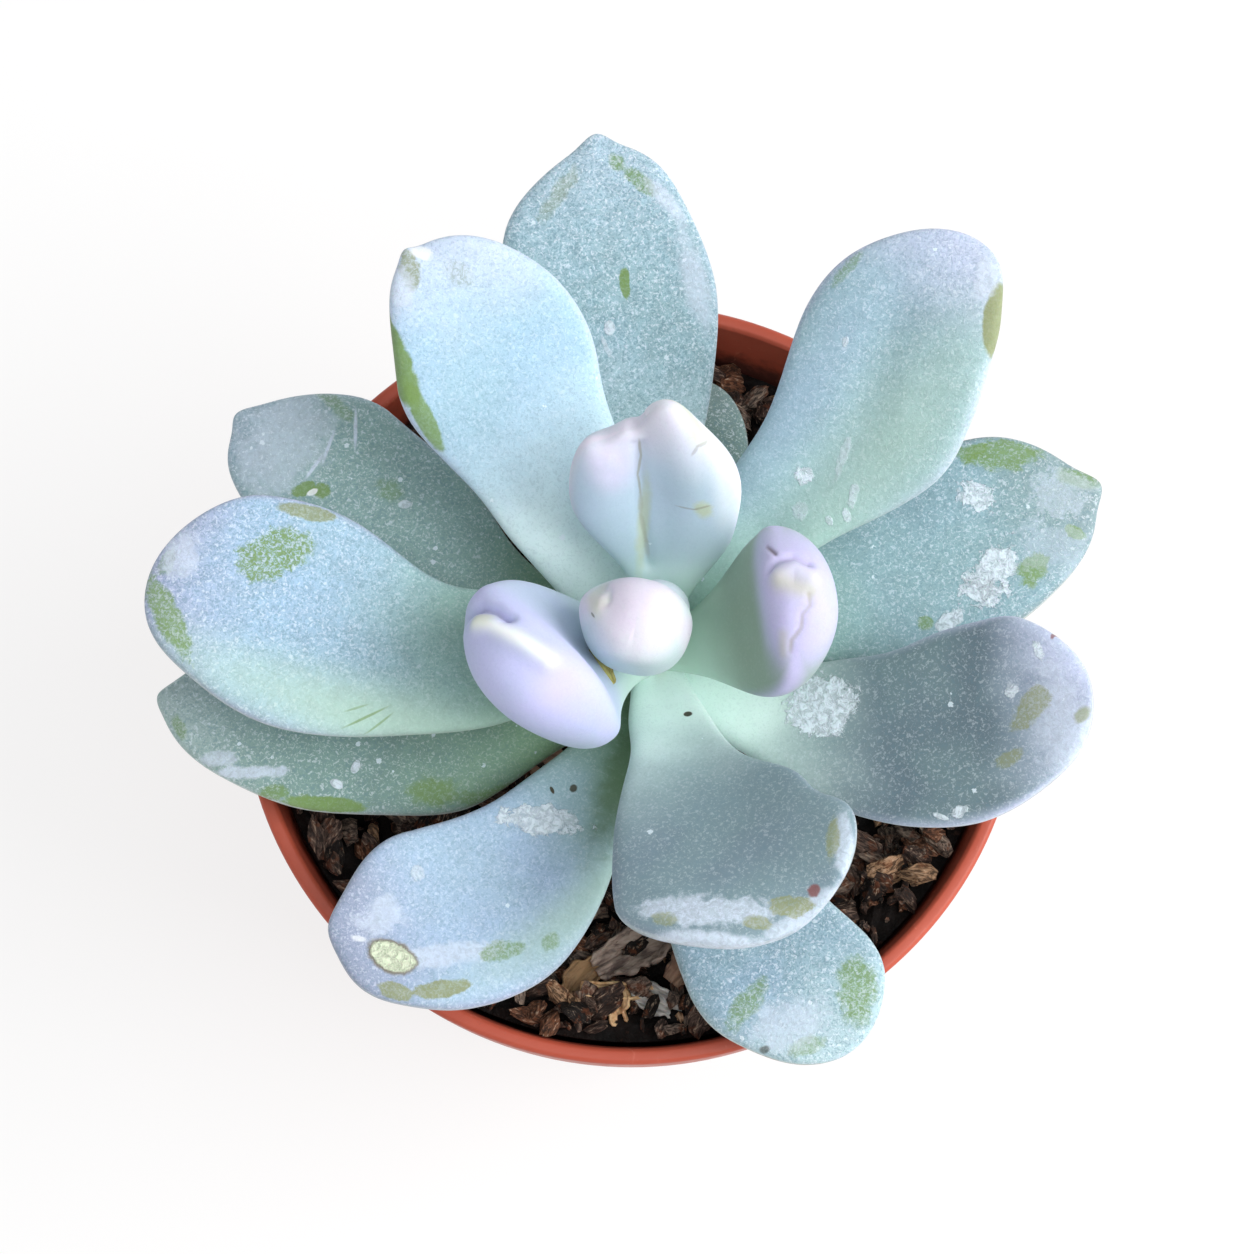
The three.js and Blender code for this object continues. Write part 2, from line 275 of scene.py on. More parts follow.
def makeStage(look):
    deselectAll()
    bpy.ops.mesh.primitive_plane_add(size=look["floorWidth"])
    floor = bpy.context.object
    floor.name = "paleFloor"
    tone = (look["floorTone"],) * 3 + (1,)
    material, tree, shader = newMaterial(
        "paleFloor", Base_Color=tone, Roughness=0.9, Specular_IOR_Level=0.0,
        Emission_Color=(1, 1, 1, 1), Emission_Strength=look["floorGlow"],
    )
    giveMaterial(floor, material)
    addSoftLight("windowLight", look["keyFrom"], look["keyAway"], look["keyWide"], look["keyPower"])
    addSoftLight("topLight", look["topFrom"], look["topAway"], look["topWide"], look["topPower"])
    world = bpy.data.worlds.new("softRoom")
    world.use_nodes = True
    background = world.node_tree.nodes["Background"]
    background.inputs["Color"].default_value = (1, 1, 1, 1)
    background.inputs["Strength"].default_value = look["worldTone"]
    bpy.context.scene.world = world
    bpy.context.scene.view_settings.view_transform = "Standard"


makeStage(stageLook)
print("stage lit")


# wax: the bloom that covers every leaf, and the marks where it is rubbed off or flaking

waxScale = dict(grain=2900, cloud=620, drift=85, ragged=520, lumps=1300, flecks=520)  # patterns per metre
waxTone = dict(  # colours, and how strongly each is laid on
    under=((158, 182, 190), 0.35), drifted=((150, 186, 178), 0.16), pits=((100, 136, 152), 0.42),
    grains=((228, 238, 248), 0.5), flecks=((226, 240, 248), 0.75), rimLine=((214, 226, 222), 0.6),
    rimBelow=((136, 128, 92), 0.8),
)


def makeWaxBloom():
    tree, given, out = newGroup(
        "waxBloom",
        [
            ("Place", "Vector", None), ("Length", "Float", 55), ("Foot", "Color", None),
            ("Body", "Color", None), ("Tip", "Color", None), ("Mottle", "Float", 1),
            ("Flecks", "Float", 0.1), ("Rim", "Float", 0.5), ("TipFrom", "Float", 0.74),
            ("FootTo", "Float", 0.56),
        ],
        [
            ("Colour", "Color"), ("Roughness", "Float"), ("Height", "Float"), ("Ragged", "Float"),
            ("Jag", "Float"), ("Holes", "Float"), ("Crust", "Float"),
        ],
    )
    along, around, rise = partsOf(tree, given["Place"])
    grain = noiseOf(tree, waxScale["grain"], 3, 0.6, distortion=0.9)
    cloud = noiseOf(tree, waxScale["cloud"], 3, 0.6)
    drift = noiseOf(tree, waxScale["drift"], 2, 0.5)
    ragged = noiseOf(tree, waxScale["ragged"], 5, 0.72, distortion=0.4)
    # foot, body and tip, each a colour of its own, and the margins coloured as the tip is
    share = calc(tree, "DIVIDE", along, given["Length"])
    share = plus(tree, share, calc(tree, "MULTIPLY_ADD", drift, 0.3, -0.15))
    colour = blend(tree, ease(tree, share, 0.16, given["FootTo"]), given["Foot"], given["Body"])
    side = minus(tree, 1, calc(tree, "ABSOLUTE", rise))
    marginHere = times(tree, ease(tree, side, 0.45, 1), ease(tree, share, 0.35, 0.7))
    tipEnd = plus(tree, given["TipFrom"], 0.28)
    tipHere = calc(tree, "MAXIMUM", ease(tree, share, given["TipFrom"], tipEnd), marginHere)
    colour = blend(tree, tipHere, colour, given["Tip"])
    # the underside is smoother and a shade greyer
    under = times(tree, ease(tree, rise, 0.1, -0.5), minus(tree, 1, tipHere))
    colour = tint(tree, colour, under, *waxTone["under"])
    # mottling: clouds, with pale grains of wax and darker pits between them, softer near the stem
    strength = times(tree, given["Mottle"], ease(tree, share, 0.1, 0.7, 0.35, 1))
    swing = times(tree, minus(tree, cloud, 0.5), strength)
    swing = calc(tree, "MULTIPLY_ADD", swing, 0.45, 1)
    tone = tree.nodes.new("ShaderNodeCombineColor")
    for i in range(3):
        put(tree, swing, tone.inputs[i])
    colour = blend(tree, 1, colour, tone.outputs[0], "MULTIPLY")
    colour = tint(tree, colour, ease(tree, drift, 0.38, 0.62), *waxTone["drifted"])
    pits = times(tree, ease(tree, grain, 0.47, 0.38), strength)
    colour = tint(tree, colour, pits, *waxTone["pits"])
    grains = times(tree, ease(tree, grain, 0.53, 0.64), strength)
    colour = tint(tree, colour, grains, *waxTone["grains"])
    # flecks: loose white grains
    dots = tree.nodes.new("ShaderNodeTexVoronoi")
    dots.inputs["Scale"].default_value = waxScale["flecks"]
    put(tree, objectPlace(tree), dots.inputs["Vector"])
    dotTone = tree.nodes.new("ShaderNodeSeparateColor")
    put(tree, dots.outputs["Color"], dotTone.inputs[0])
    chosen = calc(tree, "LESS_THAN", dotTone.outputs[0], given["Flecks"])
    dotSize = times(tree, dotTone.outputs[1], times(tree, grain, 0.34))
    fleck = times(tree, chosen, calc(tree, "LESS_THAN", dots.outputs["Distance"], dotSize))
    colour = tint(tree, colour, fleck, *waxTone["flecks"])
    # rim: a thin pale line with a brown-olive edge below it, where the blade turns over
    line = times(tree, ease(tree, side, 0.86, 0.97), ease(tree, share, 0.1, 0.4))
    colour = tint(tree, colour, times(tree, line, given["Rim"]), *waxTone["rimLine"])
    below = calc(tree, "ABSOLUTE", minus(tree, -0.10, rise))
    below = minus(tree, 1, times(tree, below, 9), clamp=True)
    brown = times(tree, below, times(tree, given["Rim"], ease(tree, share, 0.3, 0.6)))
    brown = times(tree, brown, ease(tree, ragged, 0.35, 0.6))
    colour = tint(tree, colour, brown, *waxTone["rimBelow"])
    put(tree, colour, out["Colour"])
    put(tree, calc(tree, "MULTIPLY_ADD", cloud, 0.3, 0.45), out["Roughness"])
    put(tree, minus(tree, grains, pits), out["Height"])
    # what the patches share: how ragged the wax is, how far that moves an outline, and holes below 0
    put(tree, ragged, out["Ragged"])
    put(tree, times(tree, minus(tree, ragged, 0.5), 5), out["Jag"])
    put(tree, ease(tree, grain, 0.44, 0.58, 0, -1), out["Holes"])
    # crust: what a loose flake shows, small pale lumps with finer grain on them
    lumps = noiseOf(tree, waxScale["lumps"], 4, 0.75, distortion=0.8)
    put(tree, ease(tree, lumps, 0.32, 0.62), out["Crust"])
    return tree


def makeWornPatch():  # an ellipse on the blade, with a ragged outline and holes where the grain is
    tree, given, out = newGroup(
        "wornPatch",
        [
            ("Place", "Vector", None), ("Jag", "Float", 0), ("Holes", "Float", 0),
            ("Centre", "Vector", None), ("Size", "Vector", None), ("Turn", "Vector", None),
            ("Ragged", "Float", 0.3), ("Speckle", "Float", 0), ("Soft", "Float", 0.1),
            ("Strength", "Float", 1),
        ],
        [("Mask", "Float")],
    )
    inPatch = tree.nodes.new("ShaderNodeMapping")
    inPatch.vector_type = "TEXTURE"
    for socketName, value in dict(Vector="Place", Location="Centre", Scale="Size", Rotation="Turn").items():
        put(tree, given[value], inPatch.inputs[socketName])
    reach = tree.nodes.new("ShaderNodeVectorMath")
    reach.operation = "LENGTH"
    put(tree, inPatch.outputs[0], reach.inputs[0])
    away = calc(tree, "MULTIPLY_ADD", given["Jag"], given["Ragged"], reach.outputs["Value"])
    start, end = minus(tree, 1, given["Soft"]), plus(tree, 1, given["Soft"])
    mask = ease(tree, away, start, end, given["Strength"], 0)
    solid = calc(tree, "MULTIPLY_ADD", given["Holes"], given["Speckle"], 1)
    put(tree, times(tree, mask, solid), out["Mask"])
    return tree


waxBloom = makeWaxBloom()
wornPatch = makeWornPatch()

# what each kind of mark shows: its colour, and how far it stands proud of the wax where that shows
markKinds = dict(
    bare=dict(colour=(120, 152, 84)),
    olive=dict(colour=(142, 150, 104)),
    # painted shade: a deep green where other leaves shade a blade's base
    paintedDeepShade=dict(colour=(82, 112, 70)),
    flake=dict(colour=(216, 229, 238), lift=5),
    frost=dict(colour=(206, 218, 234)),
    dot=dict(colour=(66, 64, 50), lift=-3),
    rust=dict(colour=(128, 78, 78)),
    scab=dict(colour=(212, 222, 196), lift=8),
    scabEdge=dict(colour=(120, 112, 92)),
    stain=dict(colour=(196, 206, 150)),
    rose=dict(colour=(226, 208, 238)),
    white=dict(colour=(246, 250, 252)),
    crease=dict(colour=(150, 150, 128)),
    vein=dict(colour=(124, 112, 92)),
    mint=dict(colour=(184, 216, 196)),
    # painted shade: a darker green where neighbouring leaves shade a blade near the stem
    paintedStemShade=dict(colour=(116, 150, 128)),
    sky=dict(colour=(168, 192, 222)),
)
flat = 10000  # mm: a mark's size across the third axis, so that it counts for nothing


def strokeMarks(kind, points, wide, ragged, strength):  # a line as one thin mark for each stretch
    marks = []
    for (along, girth), (nextAlong, nextGirth) in zip(points, points[1:]):
        long = 0.58 * math.hypot(nextAlong - along, nextGirth - girth)  # a little over half, to join up
        turn = math.degrees(math.atan2(nextGirth - girth, nextAlong - along))
        middle = ((along + nextAlong) / 2, (girth + nextGirth) / 2)
        marks.append((kind, *middle, long, wide, turn, ragged, 0, 0.5, strength))
    return marks


def shadeOf(tone, factor):
    return tuple(factor * part for part in tone[:3]) + (1,)


def makeLeafMaterial(leaf):
    look = {**leafKinds[leaf["kind"]]["look"], **leaf.get("look", {})}
    material, tree, shader = newMaterial(
        leaf["name"] + "Skin", Subsurface_Weight=look["depth"], Subsurface_Scale=0.0025,
        Subsurface_Radius=(0.6, 1.0, 0.7), Specular_IOR_Level=0.35, Sheen_Weight=0.12,
        Sheen_Roughness=0.6,
    )
    place = attributeOf(tree, "leafPlace")["Vector"]
    wax = useGroup(
        tree, waxBloom, Place=place, Length=leaf["length"], Foot=colourOf(*look["foot"]),
        Body=colourOf(*look["body"]), Tip=colourOf(*look["tip"]), Mottle=look["mottle"],
        Flecks=look["flecks"], Rim=look["rim"], TipFrom=look["tipFrom"], FootTo=look["footTo"],
    )
    colour, height = wax["Colour"], wax["Height"]
    marks = list(leaf.get("marks", []))
    for line in leaf.get("lines", []):
        marks.extend(strokeMarks(*line))
    for kind, along, girth, long, wide, turn, ragged, speckle, soft, strength in marks:
        mask = useGroup(
            tree, wornPatch, Place=place, Jag=wax["Jag"], Holes=wax["Holes"], Centre=(along, girth, 0),
            Size=(long, wide, flat), Turn=(0, 0, math.radians(turn)), Ragged=ragged, Speckle=speckle,
            Soft=soft, Strength=strength,
        )["Mask"]
        crusty = kind in ("flake", "frost", "scab")
        dark, pale = (0.8, 1.12) if crusty else (0.75, 1.2)
        tone = colourOf(*markKinds[kind]["colour"])
        mottling = wax["Crust" if crusty else "Ragged"]
        tone = blend(tree, mottling, shadeOf(tone, dark), shadeOf(tone, pale))
        if kind == "flake":  # a film with holes that show the blade
            film = calc(tree, "MULTIPLY_ADD", wax["Crust"], 0.55, 0.6, clamp=True)
            mask = times(tree, mask, film)
        colour = blend(tree, mask, colour, tone)
        lift = markKinds[kind].get("lift")
        if lift:
            step = times(tree, mask, lift)
            if crusty:
                step = times(tree, step, calc(tree, "MULTIPLY_ADD", wax["Crust"], 0.8, 0.4))
            height = plus(tree, height, step)
    # the folds' tones: stains and veins, painted shade in some grooves and painted highlights on some crests
    if leaf.get("folds"):
        fold = attributeOf(tree, "foldTone")
        colour = blend(tree, fold["Alpha"], colour, fold["Color"])
    dress(tree, shader, colour, wax["Roughness"], height, 0.02)
    return material


# leaves: sizes in mm and degrees, as the kinds have them in common and then leaf by leaf
# thick: through the blade; neck: half the width at the stem; widest: share of the length to there;
# waist: above 1 stays narrow for longer; cup: rise of the edges; point: above 0.5 is more pointed;
# lean: tip to the left; sweep: turn from foot to tip; rise: climb at the foot, the middle and the tip;
# full: 2 is an oval section and more is squarer; wave: swell of the surface;
# blunt: more keeps the thickness for longer towards the tip
# swells: (left 1 or right -1, share of the length, its spread, mm) that the margin stands further out
# beaks: (place to the left, mm, spread) that the tip reaches further, or less where mm is below 0
# marks: kind, mm along, mm round from the middle (left is +), half its length and width, turn,
# raggedness, speckle, softness and strength
# grooves: points (along, round), half width and depth; dents: along, round, reach each way, depth
# folds: points in mm in the plant's own frame, half width and depth, and the tone laid along them

leafKinds = dict(
    mature=dict(
        thick=7, neck=2.8, widest=0.7, waist=1, cup=0.16, point=0.5, lean=0, sweep=0,
        full=2.25, blunt=2.6, wave=0.22, segments=72, rings=104, slot="leaf",
        look=dict(foot=(172, 208, 196), body=(166, 196, 210), tip=(192, 200, 228), mottle=1,
                  flecks=0.12, rim=0.5, depth=0.15, tipFrom=0.74, footTo=0.56),
    ),
    old=dict(
        thick=6.5, neck=2.6, widest=0.7, waist=1, cup=0.12, point=0.5, lean=0, sweep=0,
        full=2.25, blunt=2.6, wave=0.25, segments=72, rings=104, slot="leaf",
        look=dict(foot=(150, 190, 174), body=(148, 180, 188), tip=(172, 190, 210), mottle=1.1,
                  flecks=0.3, rim=1, depth=0.15, tipFrom=0.74, footTo=0.56),
    ),
    young=dict(
        thick=8, neck=2.4, widest=0.66, waist=1, cup=0.12, point=0.5, lean=0, sweep=0,
        full=2.2, blunt=2.6, wave=0.2, segments=112, rings=144, slot="young_leaf",
        look=dict(foot=(186, 216, 208), body=(192, 208, 228), tip=(216, 212, 244), mottle=0.12,
                  flecks=0.02, rim=0, depth=0.3, tipFrom=0.74, footTo=0.56),
    ),
)

leaves = [
    dict(
        name="leafCrown", node="leaf_crown", kind="young", heading=256, x=1.2, y=0.9, foot=84,
        length=18, width=11.2, rise=(75, 86, 88), thick=9.4, neck=1.8, widest=0.6, cup=0, full=2.4,
        blunt=4,
        swells=[(-1, 0.8, 0.2, 0.4)],
        dents=[(12.5, -7.5, 3.5, 2.2, -0.7)],
        look=dict(body=(214, 230, 230), tip=(226, 218, 232), foot=(206, 228, 224)),
        folds=[
            # painted highlight: a white line along the crest near the notch
            dict(points=[(-3.2, 2.2, 98.5), (-2.4, 1.4, 100), (-2.6, 0.4, 100.5)], half=0.5, depth=0.35,
                 tone=(0.95, 0.96, 0.98), strength=0.8, tintHalf=0.35),
            dict(points=[(-3.3, 1.9, 97.5), (-3.3, 2.4, 98.5)], half=0.9, depth=0.5),
            dict(points=[(-3.2, -0.4, 99.6), (-2.9, 0.3, 100)], half=1, depth=-0.2,
                 tone=(0.84, 0.86, 0.72), strength=0.3, tintHalf=0.9),
        ],
        marks=[
            ("rose", 16.5, -2.5, 4.0, 4.0, 0, 0.1, 0, 0.9, 0.3),
            ("stain", 15.0, -6.4, 1.0, 1.6, 20, 0.2, 0, 0.7, 0.3),
            ("dot", 15.6, -8.0, 0.24, 0.18, 0, 0.1, 0, 0.3, 0.7),
        ],
    ),
    dict(
        name="leafCrownBack", node="leaf_crown_back", kind="young", heading=72, foot=83.5, length=14.5,
        width=6.5, rise=(40, 90, 96), thick=4.2, neck=1.4,
        look=dict(body=(212, 226, 232), tip=(214, 224, 236)),
    ),
    dict(
        name="leafInnerBack", node="leaf_inner_back", kind="young", heading=90, foot=82, length=31,
        width=18.5, rise=(22, 55, 60), sweep=-4, thick=7, lean=1.5,
        swells=[(1, 0.3, 0.18, -2.0), (-1, 0.42, 0.12, 0.8)],
        beaks=[(-3.0, 2.2, 2.8), (0.9, -1.1, 1.1), (4.8, -2.8, 3.0)],
        dents=[(24, 5.8, 5, 3, -0.5), (25, -4, 6, 3.2, -0.7)],
        grooves=[
            dict(points=[(29, 1.3), (24, 1.6), (18, 1.4), (11, 0.6)], half=0.6, depth=0.5),
            dict(points=[(28, 1.3), (12, 0)], half=3, depth=0.9),
        ],
        look=dict(body=(188, 210, 226), tip=(228, 224, 240), foot=(200, 230, 218)),
        lines=[
            ("crease", [(29.4, 1.3), (27, 1.2), (24, 1.8), (21, 1.6)], 0.14, 0.12, 0.6),
            ("crease", [(21, 1.6), (18, 1.5), (14.5, 0.9), (12, 0.6)], 0.26, 0.2, 0.3),
            ("vein", [(27.6, -4.4), (28.4, -5.2), (28.6, -6.3)], 0.14, 0.2, 0.35),
            ("vein", [(20.5, -2.4), (20.4, -4.2), (21.0, -5.8)], 0.14, 0.2, 0.4),
        ],
        marks=[
            ("stain", 17, 1.2, 6.5, 0.6, -3, 0.25, 0, 0.6, 0.5),
            ("stain", 20.5, -5.2, 1.3, 0.9, 20, 0.3, 0, 0.5, 0.6),
            ("rose", 26, 4.5, 3.5, 2.6, 0, 0.1, 0, 0.6, 0.45),
            ("white", 24, -8.0, 6, 1.6, 0, 0.1, 0, 0.7, 0.5),
            ("stain", 29.5, -5.5, 1.0, 1.2, 0, 0.3, 0, 0.6, 0.45),
        ],
    ),
    dict(
        name="leafInnerRight", node="leaf_inner_right", kind="young", heading=3, foot=81, length=29,
        width=17.5, rise=(18, 58, 98), sweep=4, thick=8.2, blunt=5,
        swells=[(1, 0.85, 0.1, 1.0)],
        # the dark grey-green body is partly painted shade on the inner face, which turns away from the window
        # light
        look=dict(body=(142, 166, 146), tip=(198, 194, 232), foot=(184, 214, 196), tipFrom=0.66),
        folds=[
            # a groove with painted shade laid along it
            dict(points=[(14.3, 3.4, 102.2), (15.3, 4.3, 102.5), (16.8, 4.6, 102.6), (18.4, 3.9, 102.8)],
                 half=0.6, depth=0.55, tone=(0.66, 0.66, 0.72), strength=0.35, tintHalf=0.3),
            # a raised crest with a painted highlight laid along it
            dict(points=[(15.4, 2.6, 102.8), (17, 3.3, 103), (18.6, 2.4, 103.2)], half=1.1, depth=-0.5,
                 tone=(0.86, 0.86, 0.90), strength=0.4, tintHalf=0.9),
            dict(points=[(14.1, 6.3, 100.9), (15, 5.2, 102)], half=0.25, depth=0.25, tone=(0.42, 0.36, 0.36),
                 strength=0.8, tintHalf=0.22),
            dict(points=[(15.6, 1.8, 103), (17.6, 1.0, 103.4), (18.8, 0.8, 103.4)], half=1, depth=0,
                 tone=(0.78, 0.79, 0.58), strength=0.5, tintHalf=1.1),
            dict(points=[(18.4, 0.4, 103.4), (18.5, -0.8, 103.2), (17.7, -1.7, 103), (17.6, -3.1, 102.6),
                         (16.6, -4.2, 101.8), (16.5, -5.3, 101.2)], half=0.4, depth=0.1,
                 tone=(0.60, 0.58, 0.46), strength=0.5, tintHalf=0.24),
            dict(points=[(15.8, -3.5, 101.8), (15.6, -5.5, 100.8)], half=0.7, depth=0,
                 tone=(0.76, 0.77, 0.58), strength=0.35, tintHalf=0.6),
        ],
    ),
    dict(
        name="leafInnerLeft", node="leaf_inner_left", kind="young", heading=187, x=3.9, foot=80.5,
        length=30, width=21, rise=(18, 57, 94), sweep=46, thick=10, blunt=5,
        look=dict(body=(186, 200, 226), tip=(194, 198, 238), foot=(196, 224, 212), tipFrom=0.62),
        folds=[
            # a deep groove with painted shade laid along it
            dict(points=[(-17.6, -0.8, 98), (-16.2, 0, 99.8), (-14.4, -0.5, 101.4), (-12.9, -1.7, 102.4)],
                 half=0.8, depth=1.1, tone=(0.58, 0.60, 0.74), strength=0.5, tintHalf=0.35),
            # a raised crest with a painted highlight laid along it
            dict(points=[(-15.9, -2.4, 101.3), (-14.5, -2.8, 102.4), (-11.6, -4.6, 103.5),
                         (-8.7, -6.6, 103.4)],
                 half=1.2, depth=-0.7, tone=(0.96, 0.98, 0.98), strength=0.9, tintHalf=0.8),
            dict(points=[(-16, -1.6, 100.8), (-15, -1.7, 101.8)], half=0.8, depth=0, tone=(0.80, 0.82, 0.62),
                 strength=0.55, tintHalf=0.9),
            dict(points=[(-11.6, -3.9, 103.3), (-7.5, -6.3, 103.2)], half=0.8, depth=0,
                 tone=(0.82, 0.83, 0.70), strength=0.3, tintHalf=0.8),
            dict(points=[(-8, -9.7, 102.8), (-6.8, -8.8, 103)], half=2, depth=0, tone=(0.84, 0.78, 0.93),
                 strength=0.4, tintHalf=2.6),
            dict(points=[(-16, 2.2, 97.9), (-17.4, 1.4, 96.8)], half=1.8, depth=-0.3, tone=(0.74, 0.74, 0.92),
                 strength=0.4, tintHalf=1.6),
        ],
    ),
    dict(
        name="leafFront", node="leaf_front", kind="mature", heading=284, foot=79, length=43.8, width=25.5,
        rise=(12, 40, 15), sweep=20, waist=1.3, cup=0.22,
        swells=[(1, 0.5, 0.2, -4.7), (1, 0.72, 0.08, -1.8), (-1, 0.8, 0.13, 2.8), (-1, 0.18, 0.1, 1.0)],
        # the dark slate body and tip are partly the thinner bloom and partly painted shade, where the blade
        # rises away from the window light
        look=dict(mottle=0.45, foot=(226, 250, 244), body=(116, 139, 150), tip=(132, 147, 166),
                  tipFrom=0.88, footTo=0.66, flecks=0.05),
        marks=[
            ("frost", 38.0, -7.0, 6.4, 1.5, 58, 0.45, 0.35, 0.3, 0.8),
            ("frost", 40.8, -8.6, 6.5, 1.0, 55, 0.25, 0, 0.4, 0.75),
            ("frost", 39.4, 8.4, 3.4, 1.0, -32, 0.35, 0.2, 0.3, 0.7),
            ("frost", 43.2, 1.5, 1.0, 5.5, 0, 0.3, 0.1, 0.4, 0.65),
            ("olive", 41.8, 0.2, 1.9, 1.1, 60, 0.4, 0.35, 0.15, 0.85),
            ("olive", 41.4, -3.6, 1.3, 0.7, 58, 0.4, 0.35, 0.2, 0.8),
            ("olive", 38.4, 7.8, 2.2, 0.7, -38, 0.35, 0.3, 0.2, 0.75),
            ("olive", 36.7, -11.4, 1.2, 0.7, 58, 0.35, 0.4, 0.2, 0.7),
            ("rust", 41.8, 3.1, 0.55, 0.6, 0, 0.3, 0, 0.3, 0.9),
            ("dot", 11, 1.5, 0.5, 0.38, 60, 0.1, 0, 0.15, 1),
        ],
    ),
    dict(
        name="leafLeft", node="leaf_left", kind="mature", heading=186, foot=76, length=57.5, width=25,
        rise=(12, 18, 12), sweep=-26, widest=0.72,
        swells=[(1, 0.32, 0.12, 1.2), (1, 0.93, 0.12, -3.0), (-1, 0.28, 0.08, 1.2),
                (-1, 0.48, 0.13, -2.0), (-1, 0.9, 0.08, 1.3)],
        look=dict(mottle=1.05, body=(158, 190, 216), foot=(160, 200, 172), footTo=0.72,
                  tip=(164, 172, 204), flecks=0.1),
        marks=[
            ("mint", 28, 9.5, 20, 3.6, -4, 0.1, 0, 0.9, 0.75),
            # painted shade near the stem, where the inner left leaf shades this blade
            ("paintedStemShade", 20, -3, 9, 6, 0, 0.1, 0, 1, 0.35),
            ("bare", 45.2, -5.8, 4.4, 2.4, 35, 0.35, 0.75, 0.15, 0.9),
            ("olive", 43.0, -11.3, 3.3, 0.9, 5, 0.2, 0.2, 0.15, 0.85),
            ("bare", 54.2, 4.2, 5.2, 1.3, 133, 0.3, 0.45, 0.2, 0.85),
            ("bare", 56.2, -1.2, 0.8, 1.6, 0, 0.35, 0.6, 0.2, 0.5),
            ("frost", 55.0, -2.4, 1.8, 2.6, 0, 0.5, 0.4, 0.3, 0.7),
            ("bare", 31.9, 9.4, 2.4, 0.14, 38, 0.06, 0, 0.4, 0.7),
            ("bare", 30.4, 9.8, 1.7, 0.12, 50, 0.06, 0, 0.4, 0.6),
            ("bare", 33.0, 8.6, 1.2, 0.12, 30, 0.06, 0, 0.4, 0.5),
        ],
    ),
    dict(
        name="leafBackRight", node="leaf_back_right", kind="mature", heading=50, foot=77, length=59,
        width=21, rise=(18, 25, 20), sweep=1, lean=-1.5,
        swells=[(1, 0.52, 0.17, -3.0), (-1, 0.61, 0.17, 3.1), (-1, 0.96, 0.05, -2)],
        look=dict(mottle=0.8, body=(150, 182, 194), flecks=0.16),
        grooves=[dict(points=[(20, -1), (36, -3), (47, 1)], half=2.6, depth=0.5)],
        marks=[
            ("mint", 34, -7, 18, 5.5, -4, 0.1, 0, 1, 0.5),
            ("sky", 32, 4, 16, 3.4, 3, 0.1, 0, 1, 0.3),
            ("olive", 53.2, -7.4, 4.2, 1.3, 38, 0.12, 0.05, 0.12, 0.95),
            ("frost", 56.0, -3.4, 2.4, 1.0, 40, 0.4, 0.2, 0.3, 0.7),
            ("flake", 27.4, -1.4, 1.1, 1.0, 0, 0.4, 0, 0.1, 0.9),
            ("flake", 29.2, -7.0, 1.3, 0.5, 30, 0.45, 0.3, 0.2, 0.6),
            ("flake", 26.8, -7.8, 0.7, 0.4, 50, 0.4, 0, 0.2, 0.7),
            ("flake", 25.2, -6.6, 0.5, 0.35, 50, 0.4, 0, 0.2, 0.7),
            ("flake", 31.6, -3.6, 2.2, 0.5, 20, 0.5, 0.4, 0.2, 0.55),
            ("flake", 41.8, 3.7, 0.6, 0.35, 20, 0.2, 0, 0.2, 0.8),
            ("flake", 24.0, -3.4, 1.0, 0.8, 0, 0.5, 0.4, 0.2, 0.6),
            ("bare", 48.5, 8.6, 2.2, 0.6, 0, 0.4, 0.6, 0.3, 0.5),
        ],
    ),
    dict(
        name="leafBackLeft", node="leaf_back_left", kind="mature", heading=119, foot=77.5, length=52.8,
        width=20.5, rise=(18, 25, 25), lean=2,
        swells=[(1, 0.25, 0.2, 1.6), (1, 0.7, 0.14, 1.8), (-1, 0.55, 0.1, -0.9)],
        beaks=[(2.2, 0.8, 1.3)],
        look=dict(mottle=0.6, foot=(226, 248, 246), footTo=0.68, tip=(204, 218, 244),
                  body=(166, 200, 222), flecks=0.06),
        marks=[
            ("bare", 44.6, 10.4, 7.2, 1.9, -6, 0.12, 0.05, 0.12, 0.95),
            ("bare", 36.4, 10.6, 4.4, 1.0, 0, 0.12, 0.1, 0.15, 0.9),
            ("olive", 50.8, 3.2, 1.9, 1.1, -35, 0.4, 0.4, 0.2, 0.75),
            ("frost", 49.6, 5.2, 2.4, 1.1, -40, 0.45, 0.3, 0.3, 0.7),
            ("white", 51.9, 0.8, 0.9, 0.9, 0, 0.4, 0.2, 0.3, 0.8),
            ("olive", 48.2, -1.0, 1.5, 1.2, 0, 0.3, 0.6, 0.5, 0.35),
        ],
    ),
    dict(
        name="leafRight", node="leaf_right", kind="mature", heading=323, foot=75, length=53, width=22,
        rise=(8, 20, 30), sweep=62, cup=0.2, lean=1.5,
        swells=[(1, 0.57, 0.14, -1.2), (1, 0.92, 0.07, 1.5), (-1, 0.3, 0.15, -0.8), (-1, 0.88, 0.09, -1.2)],
        # the dark slate body is partly the thinner bloom and partly painted shade, where the blade rises away
        # from the window light
        look=dict(mottle=0.55, foot=(220, 244, 236), body=(100, 120, 130), flecks=0.14),
        marks=[
            ("flake", 21.6, 2.4, 4.0, 3.5, 10, 0.36, 0.05, 0.06, 0.95),
            ("frost", 48.5, -4.2, 2.8, 6.0, 0, 0.5, 0.3, 0.4, 0.6),
            ("olive", 46.2, -0.8, 2.6, 1.5, 30, 0.45, 0.4, 0.2, 0.75),
            ("olive", 42.6, -5.2, 1.5, 0.8, 10, 0.4, 0.4, 0.2, 0.7),
            ("olive", 50.9, -4.2, 0.9, 0.7, 0, 0.3, 0.1, 0.3, 0.7),
            ("flake", 44.7, 1.8, 0.9, 0.8, 0, 0.5, 0.1, 0.1, 0.9),
